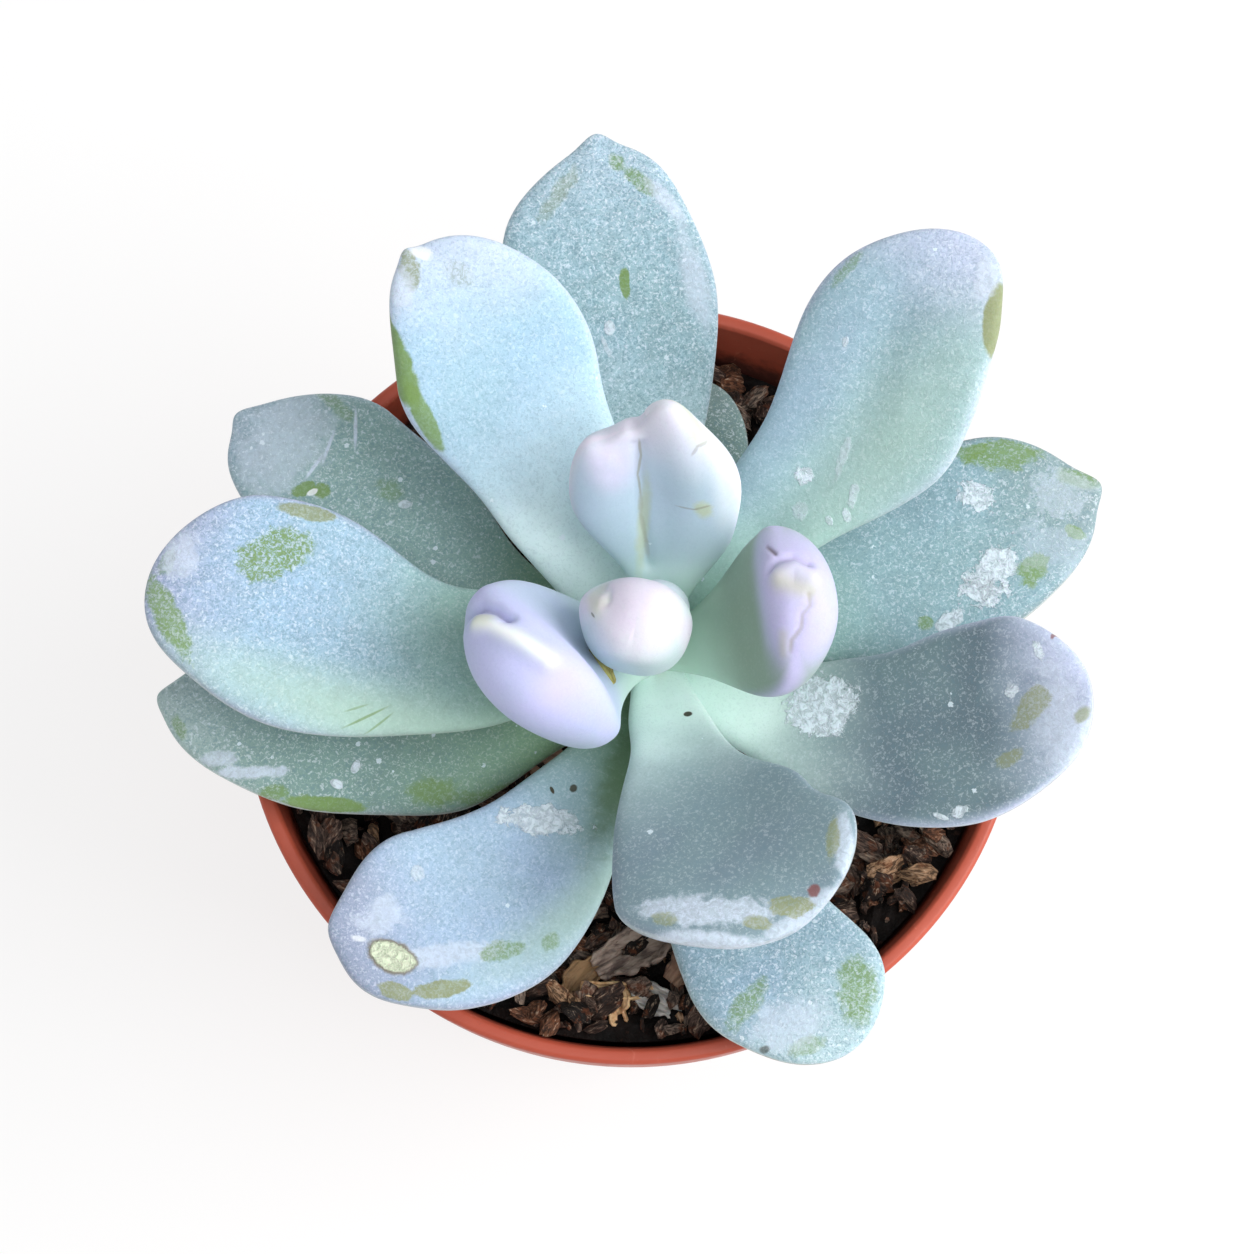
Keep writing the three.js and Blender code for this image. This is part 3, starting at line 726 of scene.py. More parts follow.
            ("flake", 49.4, 4.2, 0.6, 1.0, 0, 0.5, 0.1, 0.1, 0.9),
            ("flake", 36.8, -9.7, 0.9, 0.6, 30, 0.5, 0, 0.1, 0.9),
            ("flake", 34.9, -9.9, 0.8, 0.3, -30, 0.3, 0, 0.1, 0.9),
            ("rust", 51.6, 4.9, 0.5, 0.25, 60, 0.3, 0, 0.3, 0.8),
        ],
    ),
    dict(
        name="leafFrontLeft", node="leaf_front_left", kind="mature", heading=257, foot=74, length=52,
        width=22, rise=(5, 14, 20), sweep=-66, cup=0.2,
        swells=[(1, 0.38, 0.12, -1.6), (1, 0.68, 0.1, 0.7), (1, 0.92, 0.08, -1.4), (-1, 0.58, 0.22, -2.2)],
        beaks=[(-2.5, 0.9, 2.5)],
        # the dark green foot is partly painted shade, where the inner left and front leaves shade this blade
        look=dict(mottle=0.7, body=(164, 190, 218), foot=(124, 158, 122), tip=(152, 158, 190), flecks=0.06),
        marks=[
            ("mint", 24, 8, 14, 2.6, 0, 0.1, 0, 0.9, 0.6),
            # painted shade near the foot, where the inner left and front leaves shade this blade
            ("paintedDeepShade", 13, 2.6, 9, 3.2, 10, 0.2, 0, 0.5, 0.75),
            ("flake", 24.4, -2.4, 4.6, 1.6, -47, 0.55, 0.1, 0.06, 0.95),
            ("frost", 42.6, 4.2, 5.6, 1.3, -20, 0.4, 0.2, 0.3, 0.7),
            ("bare", 36.5, 6.8, 2.2, 1.0, -20, 0.4, 0.5, 0.2, 0.7),
            ("bare", 32.1, 8.8, 0.9, 0.8, 0, 0.4, 0.5, 0.2, 0.6),
            ("olive", 43.4, 7.7, 2.9, 0.9, -14, 0.25, 0.2, 0.12, 0.9),
            ("olive", 47.6, 6.3, 1.8, 0.8, -40, 0.25, 0.2, 0.12, 0.85),
            ("scabEdge", 47.0, 2.6, 2.7, 1.75, -44, 0.12, 0, 0.12, 0.9),
            ("scab", 47.0, 2.6, 2.4, 1.45, -44, 0.14, 0, 0.08, 1),
            ("white", 49.6, -0.2, 0.7, 0.3, -30, 0.3, 0, 0.4, 0.6),
            ("frost", 46.4, -2.0, 2.6, 2.0, 10, 0.6, 0.4, 0.3, 0.6),
            ("flake", 41.1, -5.0, 0.9, 0.7, 20, 0.6, 0.1, 0.1, 0.6),
            ("dot", 20.5, -3.6, 0.5, 0.22, 60, 0.2, 0, 0.2, 1),
            ("dot", 18.6, -1.9, 0.5, 0.4, 0, 0.2, 0, 0.2, 0.95),
        ],
    ),
    dict(
        name="leafBack", node="leaf_back", kind="old", heading=97.5, foot=72, length=61, width=24,
        rise=(4, 13, 12), sweep=-5, widest=0.72, point=0.56,
        swells=[(1, 0.87, 0.1, 2.0), (-1, 0.93, 0.14, -2.8)],
        beaks=[(1.2, 1.3, 2.0)],
        look=dict(mottle=1.3, body=(154, 186, 198), foot=(226, 250, 247), footTo=0.64,
                  tip=(172, 198, 216), rim=0.9),
        marks=[
            ("bare", 44.6, -1.3, 1.7, 0.55, 0, 0.3, 0.1, 0.15, 0.95),
            ("bare", 58.4, -1.2, 0.9, 0.9, 0, 0.3, 0.5, 0.3, 0.75),
            ("bare", 56.2, -3.8, 2.2, 0.9, 45, 0.35, 0.5, 0.25, 0.75),
            ("flake", 39.6, 0.8, 0.8, 0.55, 0, 0.3, 0, 0.15, 0.9),
            ("flake", 37.4, 1.4, 1.2, 0.3, 20, 0.4, 0.2, 0.2, 0.7),
            ("frost", 53.5, -6.8, 3.4, 0.9, 35, 0.4, 0.2, 0.4, 0.7),
            ("frost", 44, -9.4, 5.0, 1.4, 10, 0.3, 0.1, 0.5, 0.6),
            ("olive", 55.4, 5.6, 3.2, 0.9, -38, 0.5, 0.5, 0.4, 0.45),
        ],
    ),
    dict(
        name="leafLowRight", node="leaf_low_right", kind="old", heading=21, foot=71, length=54, width=22.5,
        rise=(5, 9, 6), point=0.55,
        swells=[(1, 0.92, 0.1, 1.4), (-1, 0.88, 0.12, -1.0)],
        beaks=[(0.6, 1.5, 2.2)],
        look=dict(mottle=0.9, body=(142, 174, 184), foot=(160, 200, 184), tip=(132, 152, 156), flecks=0.35),
        marks=[
            ("bare", 46.4, 7.6, 3.8, 1.8, -20, 0.45, 0.45, 0.25, 0.85),
            ("bare", 43.4, 9.2, 1.8, 0.9, 0, 0.4, 0.3, 0.2, 0.8),
            ("bare", 52.4, 2.0, 1.8, 1.4, -40, 0.45, 0.55, 0.3, 0.75),
            ("frost", 50.0, 1.0, 2.8, 3.0, 0, 0.7, 0.8, 0.2, 0.5),
            ("flake", 41.8, 4.2, 2.2, 1.4, -50, 0.6, 0.1, 0.06, 0.95),
            ("flake", 40.6, -4.4, 3.4, 2.1, 35, 0.6, 0.1, 0.06, 0.95),
            ("flake", 38.4, -6.6, 2.4, 1.5, -20, 0.6, 0.1, 0.06, 0.95),
            ("flake", 33.6, -8.0, 1.6, 1.0, 10, 0.45, 0.1, 0.08, 0.9),
            ("bare", 44.4, -6.2, 1.9, 1.5, 20, 0.4, 0.3, 0.15, 0.85),
            ("bare", 50.4, -3.9, 1.3, 0.7, -50, 0.4, 0.3, 0.15, 0.8),
            ("bare", 31.0, -7.2, 0.9, 0.8, 0, 0.35, 0.3, 0.2, 0.75),
            ("frost", 47.5, -4.5, 4.2, 3.0, -20, 0.7, 0.8, 0.3, 0.35),
        ],
    ),
    dict(
        name="leafLowBackLeft", node="leaf_low_back_left", kind="old", heading=150.5, foot=70.5,
        length=55.5, width=20, rise=(2, 8, 6),
        swells=[(-1, 0.35, 0.15, -2.2), (-1, 0.83, 0.12, 1.6), (1, 0.94, 0.1, -2.2)],
        beaks=[(-1.8, 1.1, 1.8)],
        look=dict(mottle=1.0, body=(142, 173, 170), foot=(126, 162, 130), tip=(158, 178, 196), flecks=0.4),
        marks=[
            ("frost", 49.6, -1, 4.2, 7, 0, 0.5, 0.5, 0.4, 0.45),
            ("frost", 43.5, -6.8, 2.3, 0.22, -60, 0.12, 0, 0.4, 0.8),
            ("frost", 45.0, -3.4, 1.8, 0.2, -78, 0.12, 0, 0.4, 0.8),
            ("frost", 45.2, -0.4, 1.7, 0.2, 85, 0.12, 0, 0.4, 0.8),
            ("bare", 44.9, 2.4, 1.5, 0.8, 60, 0.35, 0.1, 0.15, 0.9),
            ("bare", 43.0, 1.5, 1.0, 0.9, 0, 0.35, 0.2, 0.15, 0.9),
            ("white", 43.9, 2.2, 0.7, 0.3, 60, 0.3, 0, 0.2, 0.85),
            ("flake", 34.2, -2.1, 0.8, 0.5, 40, 0.3, 0, 0.15, 0.8),
            ("bare", 36.4, -2.6, 1.6, 1.2, 0, 0.5, 0.5, 0.4, 0.5),
            ("bare", 47.0, -8.2, 3.0, 0.8, -12, 0.5, 0.5, 0.4, 0.5),
        ],
    ),
    dict(
        name="leafLowLeft", node="leaf_low_left", kind="old", heading=206, foot=68, length=57, width=19,
        rise=(4, 11, 6), sweep=-44, point=0.6,
        swells=[(1, 0.42, 0.14, 2.2), (1, 0.9, 0.12, -1.8)],
        beaks=[(0.5, 0.8, 1.8)],
        look=dict(mottle=0.9, body=(122, 152, 144), foot=(156, 198, 148), tip=(170, 190, 190), flecks=0.4),
        marks=[
            ("bare", 38.4, 9.0, 4.4, 1.0, 0, 0.25, 0.1, 0.15, 0.95),
            ("bare", 43.4, 8.4, 1.8, 0.9, 20, 0.4, 0.4, 0.2, 0.8),
            ("bare", 27.0, 7.4, 2.6, 1.5, 0, 0.4, 0.35, 0.4, 0.8),
            ("bare", 20, 8.4, 5.0, 0.8, 0, 0.4, 0.4, 0.4, 0.6),
            ("frost", 45.8, 6.4, 3.8, 0.7, 12, 0.45, 0.2, 0.3, 0.8),
            ("frost", 49.4, 5.6, 1.8, 0.8, 20, 0.45, 0.3, 0.3, 0.7),
            ("flake", 35.2, 4.4, 0.8, 0.42, 70, 0.2, 0, 0.1, 1),
            ("flake", 37.1, 6.5, 0.7, 0.45, -30, 0.2, 0, 0.1, 1),
            ("bare", 54.2, 3.2, 1.3, 0.6, 120, 0.4, 0.4, 0.3, 0.6),
        ],
    ),
    dict(
        name="leafLowFront", node="leaf_low_front", kind="old", heading=293, foot=69, length=49.6, width=21,
        rise=(4, 10, 8), lean=1.5,
        swells=[(1, 0.63, 0.12, -3.2), (1, 0.88, 0.06, 0.8), (-1, 0.83, 0.14, 0.9)],
        look=dict(mottle=1.1, body=(146, 174, 194), tip=(178, 204, 212), foot=(150, 182, 176)),
        marks=[
            ("bare", 44.0, 5.4, 3.4, 1.9, -30, 0.45, 0.55, 0.3, 0.8),
            ("bare", 40.6, -5.8, 1.1, 3.0, 30, 0.45, 0.55, 0.3, 0.7),
            ("bare", 47.2, -2.6, 0.9, 1.9, 0, 0.45, 0.5, 0.3, 0.7),
            ("frost", 44.4, -3.0, 2.6, 4.0, 0, 0.5, 0.5, 0.4, 0.65),
            ("dot", 45.8, -6.8, 0.4, 0.6, 0, 0.2, 0, 0.3, 0.7),
        ],
    ),
    dict(
        name="leafLowBack", node="leaf_low_back", kind="old", heading=80.5, foot=68.5, length=37, width=14,
        rise=(0, -3, -1), thick=5, neck=2.2,
        look=dict(mottle=1.0, body=(112, 138, 132), foot=(110, 136, 122), tip=(128, 150, 148)),
    ),
]

stemAxis = dict(x=2.3, y=-0.3)
midribSteps = 60
bladeForm = dict(
    upperShare=0.42,  # of the thickness, above the midrib
    neckThick=1.7,  # the foot's thickness for each mm of half its width
    thickFrom=0.6, thinFrom=0.7, tipCurve=2.2,  # where along it is full, where it thins, and how it closes
    cupMiddle=0.3, ringCrowding=1.15,
    waveScale=0.13, shapedFrom=0.05, shapedTo=0.2,  # the relief fades out at the foot
    faintest=0.02,  # a fold's colour is left out where it is weaker
)


def threeWay(values, s):  # a curve through three values at the foot, the middle and the tip
    foot, middle, tip = values
    return foot * (1 - s) * (1 - 2 * s) + middle * 4 * s * (1 - s) + tip * s * (2 * s - 1)


def halfWidthAt(leaf, s):
    half = leaf["width"] / 2
    if s < leaf["widest"]:
        grown = (1 - math.cos(math.pi * s / leaf["widest"])) / 2
        return leaf["neck"] + (half - leaf["neck"]) * grown ** leaf["waist"]
    past = (s - leaf["widest"]) / (1 - leaf["widest"])
    return half * max(0, 1 - past ** bladeForm["tipCurve"]) ** leaf["point"]


def thicknessAt(leaf, s):
    neck = min(bladeForm["neckThick"] * leaf["neck"], leaf["thick"])
    grown = math.sin(math.pi / 2 * min(1, s / bladeForm["thickFrom"]))
    past = max(0, (s - bladeForm["thinFrom"]) / (1 - bladeForm["thinFrom"]))
    return (neck + (leaf["thick"] - neck) * grown) * math.sqrt(max(0, 1 - past ** leaf["blunt"]))


def midribOf(leaf):
    at = Vector((leaf.get("x", stemAxis["x"]), leaf.get("y", stemAxis["y"]), leaf["foot"]))
    stations = []
    for i in range(midribSteps + 1):
        s = i / midribSteps
        turn = math.radians(leaf["heading"] + leaf["sweep"] * s)
        climb = math.radians(threeWay(leaf["rise"], s))
        level = math.cos(climb)
        ahead = Vector((level * math.cos(turn), level * math.sin(turn), math.sin(climb)))
        left = Vector((-math.sin(turn), math.cos(turn), 0))
        stations.append((at.copy(), ahead, left, ahead.cross(left)))
        at += ahead * (leaf["length"] / midribSteps)
    return stations


def stationAt(stations, s):
    step = min(s * midribSteps, midribSteps - 1e-6)
    low, part = stations[int(step)], step % 1
    high = stations[int(step) + 1]
    return [a.lerp(b, part) for a, b in zip(low, high)]


def beakAt(leaf, place):  # mm that the tip reaches further at a place to the left of the middle
    reach = 0
    for side, far, spread in leaf.get("beaks", []):
        reach += far * math.exp(-(((place - side) / spread) ** 2))
    return reach


def ringOf(leaf, stations, s, segments):  # the section's points, and how far round each is
    at, ahead, left, up = stationAt(stations, s)
    half = halfWidthAt(leaf, s)
    thick = thicknessAt(leaf, s)
    towardTip = max(0, (s - leaf["widest"]) / (1 - leaf["widest"]))
    swell = {1: 0, -1: 0}
    for side, share, spread, reach in leaf.get("swells", []):
        swell[side] += reach * math.exp(-(((s - share) / spread) ** 2)) * min(1, 4 * (1 - s))
    points = []
    for i in range(segments):
        around = 2 * math.pi * i / segments
        across = math.copysign(abs(math.cos(around)) ** (2 / leaf["full"]), math.cos(around))
        rise = math.copysign(abs(math.sin(around)) ** (2 / leaf["full"]), math.sin(around))
        share = bladeForm["upperShare"] if rise > 0 else 1 - bladeForm["upperShare"]
        lift = leaf["cup"] * half * (across ** 2 - bladeForm["cupMiddle"])
        lateral = (half + swell[1 if across > 0 else -1]) * across + leaf["lean"] * towardTip ** 2
        point = at + left * lateral + up * (thick * share * rise + lift)
        points.append(point + ahead * (beakAt(leaf, half * across) * towardTip ** 3))
    return points, girthOf(points)


def girthOf(points):  # mm round the ring from its top, + to the left, where the angle falls
    segments = len(points)
    girth = [0] * segments
    for side in (1, -1):
        total = 0
        for step in range(1, segments // 2 + 1):
            here = (segments // 4 - side * step) % segments
            before = (segments // 4 - side * (step - 1)) % segments
            total += (points[here] - points[before]).length
            if side > 0 or step < segments // 2:
                girth[here] = side * total
    return girth


def distanceToLine(place, line):  # mm from a place on the blade to a line drawn on it
    nearest = 1e9
    for a, b in zip(line, line[1:]):
        a, b = Vector(a), Vector(b)
        reach = b - a
        t = min(1, max(0, (place - a).dot(reach) / reach.length_squared))
        nearest = min(nearest, (place - a - reach * t).length)
    return nearest


def foldShift(leaf, at):  # mm that the folds press a place in, and their colour and strength there
    shift, tone, strength = 0, (1, 1, 1), 0
    for fold in leaf.get("folds", []):
        away = distanceToLine(at, fold["points"])
        shift -= fold["depth"] * math.exp(-((away / fold["half"]) ** 2))
        tintHalf = fold.get("tintHalf", fold["half"])
        here = fold.get("strength", 0) * math.exp(-((away / tintHalf) ** 2))
        if here > bladeForm["faintest"]:
            share = here / (here + strength)
            tone = tuple(a + (b - a) * share for a, b in zip(tone, fold["tone"]))
            strength = 1 - (1 - strength) * (1 - here)
    return shift, (*tone, strength)


def surfaceShift(leaf, place, at):  # mm that the surface stands out or in at a place on the blade
    shift = leaf["wave"] * noise.noise(at * bladeForm["waveScale"] + Vector((leaf["heading"], 0, 0)))
    for groove in leaf.get("grooves", []):
        away = distanceToLine(place, groove["points"])
        if away < 3 * groove["half"]:
            shift -= groove["depth"] * math.exp(-((away / groove["half"]) ** 2))
    for along, girth, reachAlong, reachGirth, depth in leaf.get("dents", []):
        away = ((place.x - along) / reachAlong) ** 2 + ((place.y - girth) / reachGirth) ** 2
        if away < 9:
            shift -= depth * math.exp(-away)
    return shift


def makeLeafPiece(leaf):
    leaf = {**leafKinds[leaf["kind"]], **leaf}
    segments, rings = leaf["segments"], leaf["rings"]
    deselectAll()
    bpy.ops.mesh.primitive_uv_sphere_add(segments=segments, ring_count=rings, radius=1)
    piece = bpy.context.object
    mesh = piece.data
    stations = midribOf(leaf)
    rows = []
    for j in range(rings + 1):  # closer together towards the tip
        s = math.sin(math.pi / 2 * j / rings) ** bladeForm["ringCrowding"]
        rows.append((s, *ringOf(leaf, stations, s, segments)))
    last = stationAt(stations, 1)
    keys = []
    for vertex in mesh.vertices:  # the ball's rows become the rings along the midrib
        j = round(math.acos(max(-1, min(1, -vertex.co.z))) / math.pi * rings)
        i = round(math.atan2(vertex.co.y, vertex.co.x) / (2 * math.pi) * segments) % segments
        keys.append((j, i))
        if j == 0:
            vertex.co = stations[0][0]
        elif j == rings:
            vertex.co = last[0] + last[1] * beakAt(leaf, 0) + last[2] * leaf["lean"]
        else:
            vertex.co = rows[j][1][i]
    mesh.update()
    normals = [vertex.normal.copy() for vertex in mesh.vertices]
    foldTones = []
    for vertex, (j, i), normal in zip(mesh.vertices, keys, normals):
        s, points, girth = rows[j]
        around = 0 if j in (0, rings) else girth[i]
        pressed, (*tone, strength) = foldShift(leaf, vertex.co)
        shift = surfaceShift(leaf, Vector((s * leaf["length"], around)), vertex.co) + pressed
        vertex.co += normal * shift * easeBetween(s, bladeForm["shapedFrom"], bladeForm["shapedTo"])
        foldTones.extend((*colourOf(*(255 * part for part in tone))[:3], strength))
    if leaf.get("folds"):
        mesh.attributes.new("foldTone", "FLOAT_COLOR", "POINT").data.foreach_set("color", foldTones)
    for vertex in mesh.vertices:
        vertex.co *= mm
    mesh.update()
    writeLeafPlace(mesh, leaf, keys, rows)
    bpy.ops.object.shade_smooth()
    finishPiece(piece, leaf["name"], [leaf["node"]])
    giveMaterial(piece, makeLeafMaterial(leaf))


def writeLeafPlace(mesh, leaf, keys, rows):  # mm along, mm round, and 1 on top to -1 below
    segments, rings = leaf["segments"], leaf["rings"]
    bottom = 3 * segments // 4
    values = [0.0] * (3 * len(mesh.loops))
    for face in mesh.polygons:
        corners = [keys[mesh.loops[k].vertex_index] for k in face.loop_indices]
        inner = [i for j, i in corners if 0 < j < rings]
        leftSide = sum(math.cos(2 * math.pi * i / segments) for i in inner) > 0
        for k, (j, i) in zip(face.loop_indices, corners):
            s, points, girth = rows[j]
            pole = j in (0, rings)
            around = 0 if pole else girth[i]
            if i == bottom and not pole:  # the seam below belongs to both sides
                around = abs(around) if leftSide else -abs(around)
            rise = 0 if pole else math.sin(2 * math.pi * i / segments)
            values[3 * k:3 * k + 3] = [s * leaf["length"], around, rise]
    mesh.attributes.new("leafPlace", "FLOAT_VECTOR", "CORNER").data.foreach_set("vector", values)


for leaf in leaves:
    makeLeafPiece(leaf)
print("leaves grown:", len(leaves))


# pot: a plain thin-walled nursery pot, raised ring by ring from the centre of its underside

potSize = dict(  # mm and degrees
    segments=192, rimRadius=45, rimHeight=70, rimLip=1.8, collarDrop=9, collarDraft=0.5, edgeRound=0.4,
    wall=1.4, slope=7, floor=1.8, footBevel=2, drainHoles=6, drainRadius=3.5, drainCircle=25,
    grooveWidth=4, grooveDepth=1, softEdge=0.22, sharpFrom=32, bevelFrom=24,
)


def potInside(height):
    drop = potSize["rimHeight"] - height
    return potSize["rimRadius"] - potSize["rimLip"] - drop * math.tan(math.radians(potSize["slope"]))


def raiseRings(outline, segments):  # outline: (radius, height), the first one a filled disc
    deselectAll()
    bpy.ops.mesh.primitive_circle_add(
        vertices=segments, radius=outline[0][0] * mm, fill_type="NGON", location=(0, 0, outline[0][1] * mm)
    )
    bpy.ops.object.transform_apply(location=True, rotation=False, scale=False)
    bpy.ops.object.mode_set(mode="EDIT")
    for (radius, height), (nextRadius, nextHeight) in zip(outline, outline[1:]):
        climb = (0, 0, (nextHeight - height) * mm)
        bpy.ops.mesh.extrude_region_move(TRANSFORM_OT_translate={"value": climb})
        factor = nextRadius / radius
        bpy.ops.transform.resize(value=(factor, factor, 1), center_override=(0, 0, nextHeight * mm))
    bpy.ops.mesh.select_all(action="SELECT")
    bpy.ops.mesh.normals_make_consistent(inside=False)
    bpy.ops.object.mode_set(mode="OBJECT")
    return bpy.context.object


def cutWith(piece, makeCutter, count):  # count cutters evenly round the axis, joined and taken away
    deselectAll()
    cutters = []
    for i in range(count):
        turn = 2 * math.pi * i / count
        makeCutter(turn)
        cutters.append(bpy.context.object)
    for cutter in cutters:
        cutter.select_set(True)
    bpy.ops.object.join()
    cutter = bpy.context.object
    bpy.ops.object.transform_apply(location=True, rotation=True, scale=True)
    deselectAll()
    applyModifier(piece, "BOOLEAN", operation="DIFFERENCE", solver="EXACT", object=cutter)
    bpy.data.objects.remove(cutter)


def drainCutter(turn):
    out = potSize["drainCircle"] * mm
    bpy.ops.mesh.primitive_cylinder_add(
        vertices=48, radius=potSize["drainRadius"] * mm, depth=6 * potSize["floor"] * mm,
        location=(out * math.cos(turn), out * math.sin(turn), 0),
    )


def grooveCutter(turn):
    out = 2 * potSize["drainCircle"] * mm
    bpy.ops.mesh.primitive_cube_add(
        size=1, location=(out * math.cos(turn), out * math.sin(turn), 0), rotation=(0, 0, turn),
        scale=(out, potSize["grooveWidth"] * mm, 2 * potSize["grooveDepth"] * mm),
    )


potLook = dict(  # colours, and how strongly each is laid on
    # the inner wall's dark tone is part soil dust and part painted shade inside the pot
    main=(190, 88, 66), deeper=(178, 78, 57), dustAndShade=((58, 26, 17), 0.85), grit=((150, 82, 62), 0.35),
    scuffs=((226, 148, 126), 0.22), dustAndShadeFrom=0.0685, dustAndShadeTo=0.0640, scuffFrom=0.0600, scuffTo=0.0610,  # m
)


def makePotMaterial():
    look = potLook
    material, tree, shader = newMaterial("terracottaPlastic", Specular_IOR_Level=0.4)
    x, y, height = partsOf(tree, objectPlace(tree))
    cloud = ease(tree, noiseOf(tree, 60, 3), 0.3, 0.7)
    colour = blend(tree, cloud, colourOf(*look["main"]), colourOf(*look["deeper"]))
    # the inner wall is darkened, part soil dust and part painted shade inside the pot, and the rim is scuffed
    # pale
    reach = calc(tree, "SQRT", plus(tree, times(tree, x, x), times(tree, y, y)))
    slope = math.tan(math.radians(potSize["slope"]))
    innerWall = calc(tree, "MULTIPLY_ADD", height, slope, potInside(0) * mm)
    inner = ease(tree, minus(tree, reach, innerWall), 0.0009, 0.0005)
    dustAndShadeLine = plus(tree, height, times(tree, noiseOf(tree, 500, 4), 0.006))
    dustAndShade = times(tree, inner, ease(tree, dustAndShadeLine, look["dustAndShadeFrom"], look["dustAndShadeTo"]))
    colour = tint(tree, colour, dustAndShade, *look["dustAndShade"])
    grit = ease(tree, noiseOf(tree, 1500, 2, 0.7), 0.66, 0.72)
    colour = tint(tree, colour, grit, *look["grit"])
    scuffs = ease(tree, noiseOf(tree, 210, 5, 0.75, distortion=1.5), 0.62, 0.72)
    scuffs = times(tree, scuffs, ease(tree, height, look["scuffFrom"], look["scuffTo"]))
    colour = tint(tree, colour, scuffs, *look["scuffs"])
    rough = ease(tree, noiseOf(tree, 260, 3), 0.2, 0.8, 0.36, 0.52)
    rough = calc(tree, "MAXIMUM", rough, times(tree, dustAndShade, 0.9))
    dress(tree, shader, colour, rough, noiseOf(tree, 1400, 2), 0.03)
    return material


def makePot():
    size = potSize
    collarFoot = size["rimHeight"] - size["collarDrop"]
    rim, top, edge = size["rimRadius"], size["rimHeight"], size["edgeRound"]
    bevel, floor = size["footBevel"], size["floor"]

    def outside(height):
        return potInside(height) + size["wall"]

    outline = [
        (outside(0) - bevel, 0), (outside(bevel), bevel), (outside(collarFoot), collarFoot),
        (rim - size["collarDraft"], collarFoot), (rim, top - edge), (rim - edge, top),
        (rim - size["rimLip"] + edge, top), (rim - size["rimLip"], top - edge),
        (potInside(floor + bevel), floor + bevel), (potInside(floor) - bevel, floor),
    ]
    pot = raiseRings(outline, size["segments"])
    cutWith(pot, drainCutter, size["drainHoles"])
    cutWith(pot, grooveCutter, size["drainHoles"])
    applyModifier(pot, "BEVEL", width=size["softEdge"] * mm, segments=2, limit_method="ANGLE",
                  angle_limit=math.radians(size["bevelFrom"]))
    selectOnly(pot)
    bpy.ops.object.shade_smooth_by_angle(angle=math.radians(size["sharpFrom"]))
    finishPiece(pot, "nurseryPot", ["pot"])
    giveMaterial(pot, makePotMaterial())


makePot()
print("pot raised")


# soil: a bed with a rough top that climbs at the wall, bark chips half sunk in it, loose bark and crumbs

soilSize = dict(  # mm
    level=61, gap=0.3, shoulder=0.8, segments=144, topRings=44, rough=0.8, sink=0.3, stemRadius=3.6,
    heap=4.5, heapFrom=33, heapTo=40, heapBack=26, heapFront=-6,
    chipCount=130, chipSmall=3, chipLarge=5, chipRise=0.16, chipSpacing=0.44, chipReach=0.75,
    chipTilt=0.7, chipSeed=11, cornerDraws=36,
    barkCount=1350, barkSmall=1.7, barkLarge=3.9, barkTilt=1.1,
    crumbCount=1300, crumbSmall=0.6, crumbLarge=1.6, crumbTilt=1.5, crumbSeed=23,
    looseLong=(1.1, 1.7), looseWide=(0.6, 1.0), looseThick=(0.35, 0.7), looseRise=(0.2, 0.6),
)
chipForm = dict(radius=0.6, cutAt=(0.3, 0.46), layers=0.3, lumps=0.3)


def seededDraw(seed):  # draws the same as the solids do, so that each chip lies where its solid does
    state = seed

    def draw():
        nonlocal state
        state = (state + 0x6D2B79F5) & 0xFFFFFFFF
        t = ((state ^ (state >> 15)) * (1 | state)) & 0xFFFFFFFF
        t = ((t + (((t ^ (t >> 7)) * (61 | t)) & 0xFFFFFFFF)) & 0xFFFFFFFF) ^ t
        return ((t ^ (t >> 14)) & 0xFFFFFFFF) / 4294967296
    return draw


def makeChipShape(seed, detail, cuts, remesh):  # a ball cut by planes and roughened, about 1 across
    deselectAll()
    form = chipForm
    draw = random.Random(seed)
    bpy.ops.mesh.primitive_ico_sphere_add(subdivisions=detail, radius=form["radius"])
    chip = bpy.context.object
    bpy.ops.object.mode_set(mode="EDIT")
    for cut in range(cuts):
        lean = Vector((draw.uniform(-1, 1), draw.uniform(-1, 1), draw.uniform(-0.8, 0.8))).normalized()
        bpy.ops.mesh.select_all(action="SELECT")
        bpy.ops.mesh.bisect(
            plane_co=lean * draw.uniform(*form["cutAt"]), plane_no=lean, use_fill=True, clear_outer=True
        )
    bpy.ops.mesh.select_all(action="SELECT")
    bpy.ops.mesh.quads_convert_to_tris()
    bpy.ops.object.mode_set(mode="OBJECT")
    if remesh:
        applyModifier(chip, "REMESH", mode="VOXEL", voxel_size=remesh)
    for vertex in chip.data.vertices:  # layers of fibre run along X
        at = vertex.co.copy()
        layer = noise.noise(Vector((at.x * 1.2 + seed, at.y * 8, at.z * 8)))
        lump = noise.noise(at * 3 + Vector((0, seed, 0)))
        vertex.co = at * (1 + form["layers"] * layer + form["lumps"] * lump)
    return chip


def scatter(shapes, spots, name, seed):  # spots: place, size each way and turns of each copy; one mesh
    coords, faces, tones, places = [], [], [], []
    draw = random.Random(seed)
    for place, size, turns in spots:
        shape = draw.choice(shapes).data
        pose = Euler(turns, "XYZ").to_matrix()
        start = len(coords)
        tone = draw.random()
        for vertex in shape.vertices:
            local = Vector(part * width for part, width in zip(vertex.co, size))
            coords.append((place + pose @ local) * mm)
            places.extend((local.x + 30 * tone, local.y, local.z))  # each copy in grain of its own
            tones.append(tone)
        faces.extend([start + corner for corner in face.vertices] for face in shape.polygons)
    layers = [("chipTone", "FLOAT", "value", tones), ("chipPlace", "FLOAT_VECTOR", "vector", places)]
    return newPiece(name, coords, faces, layers)


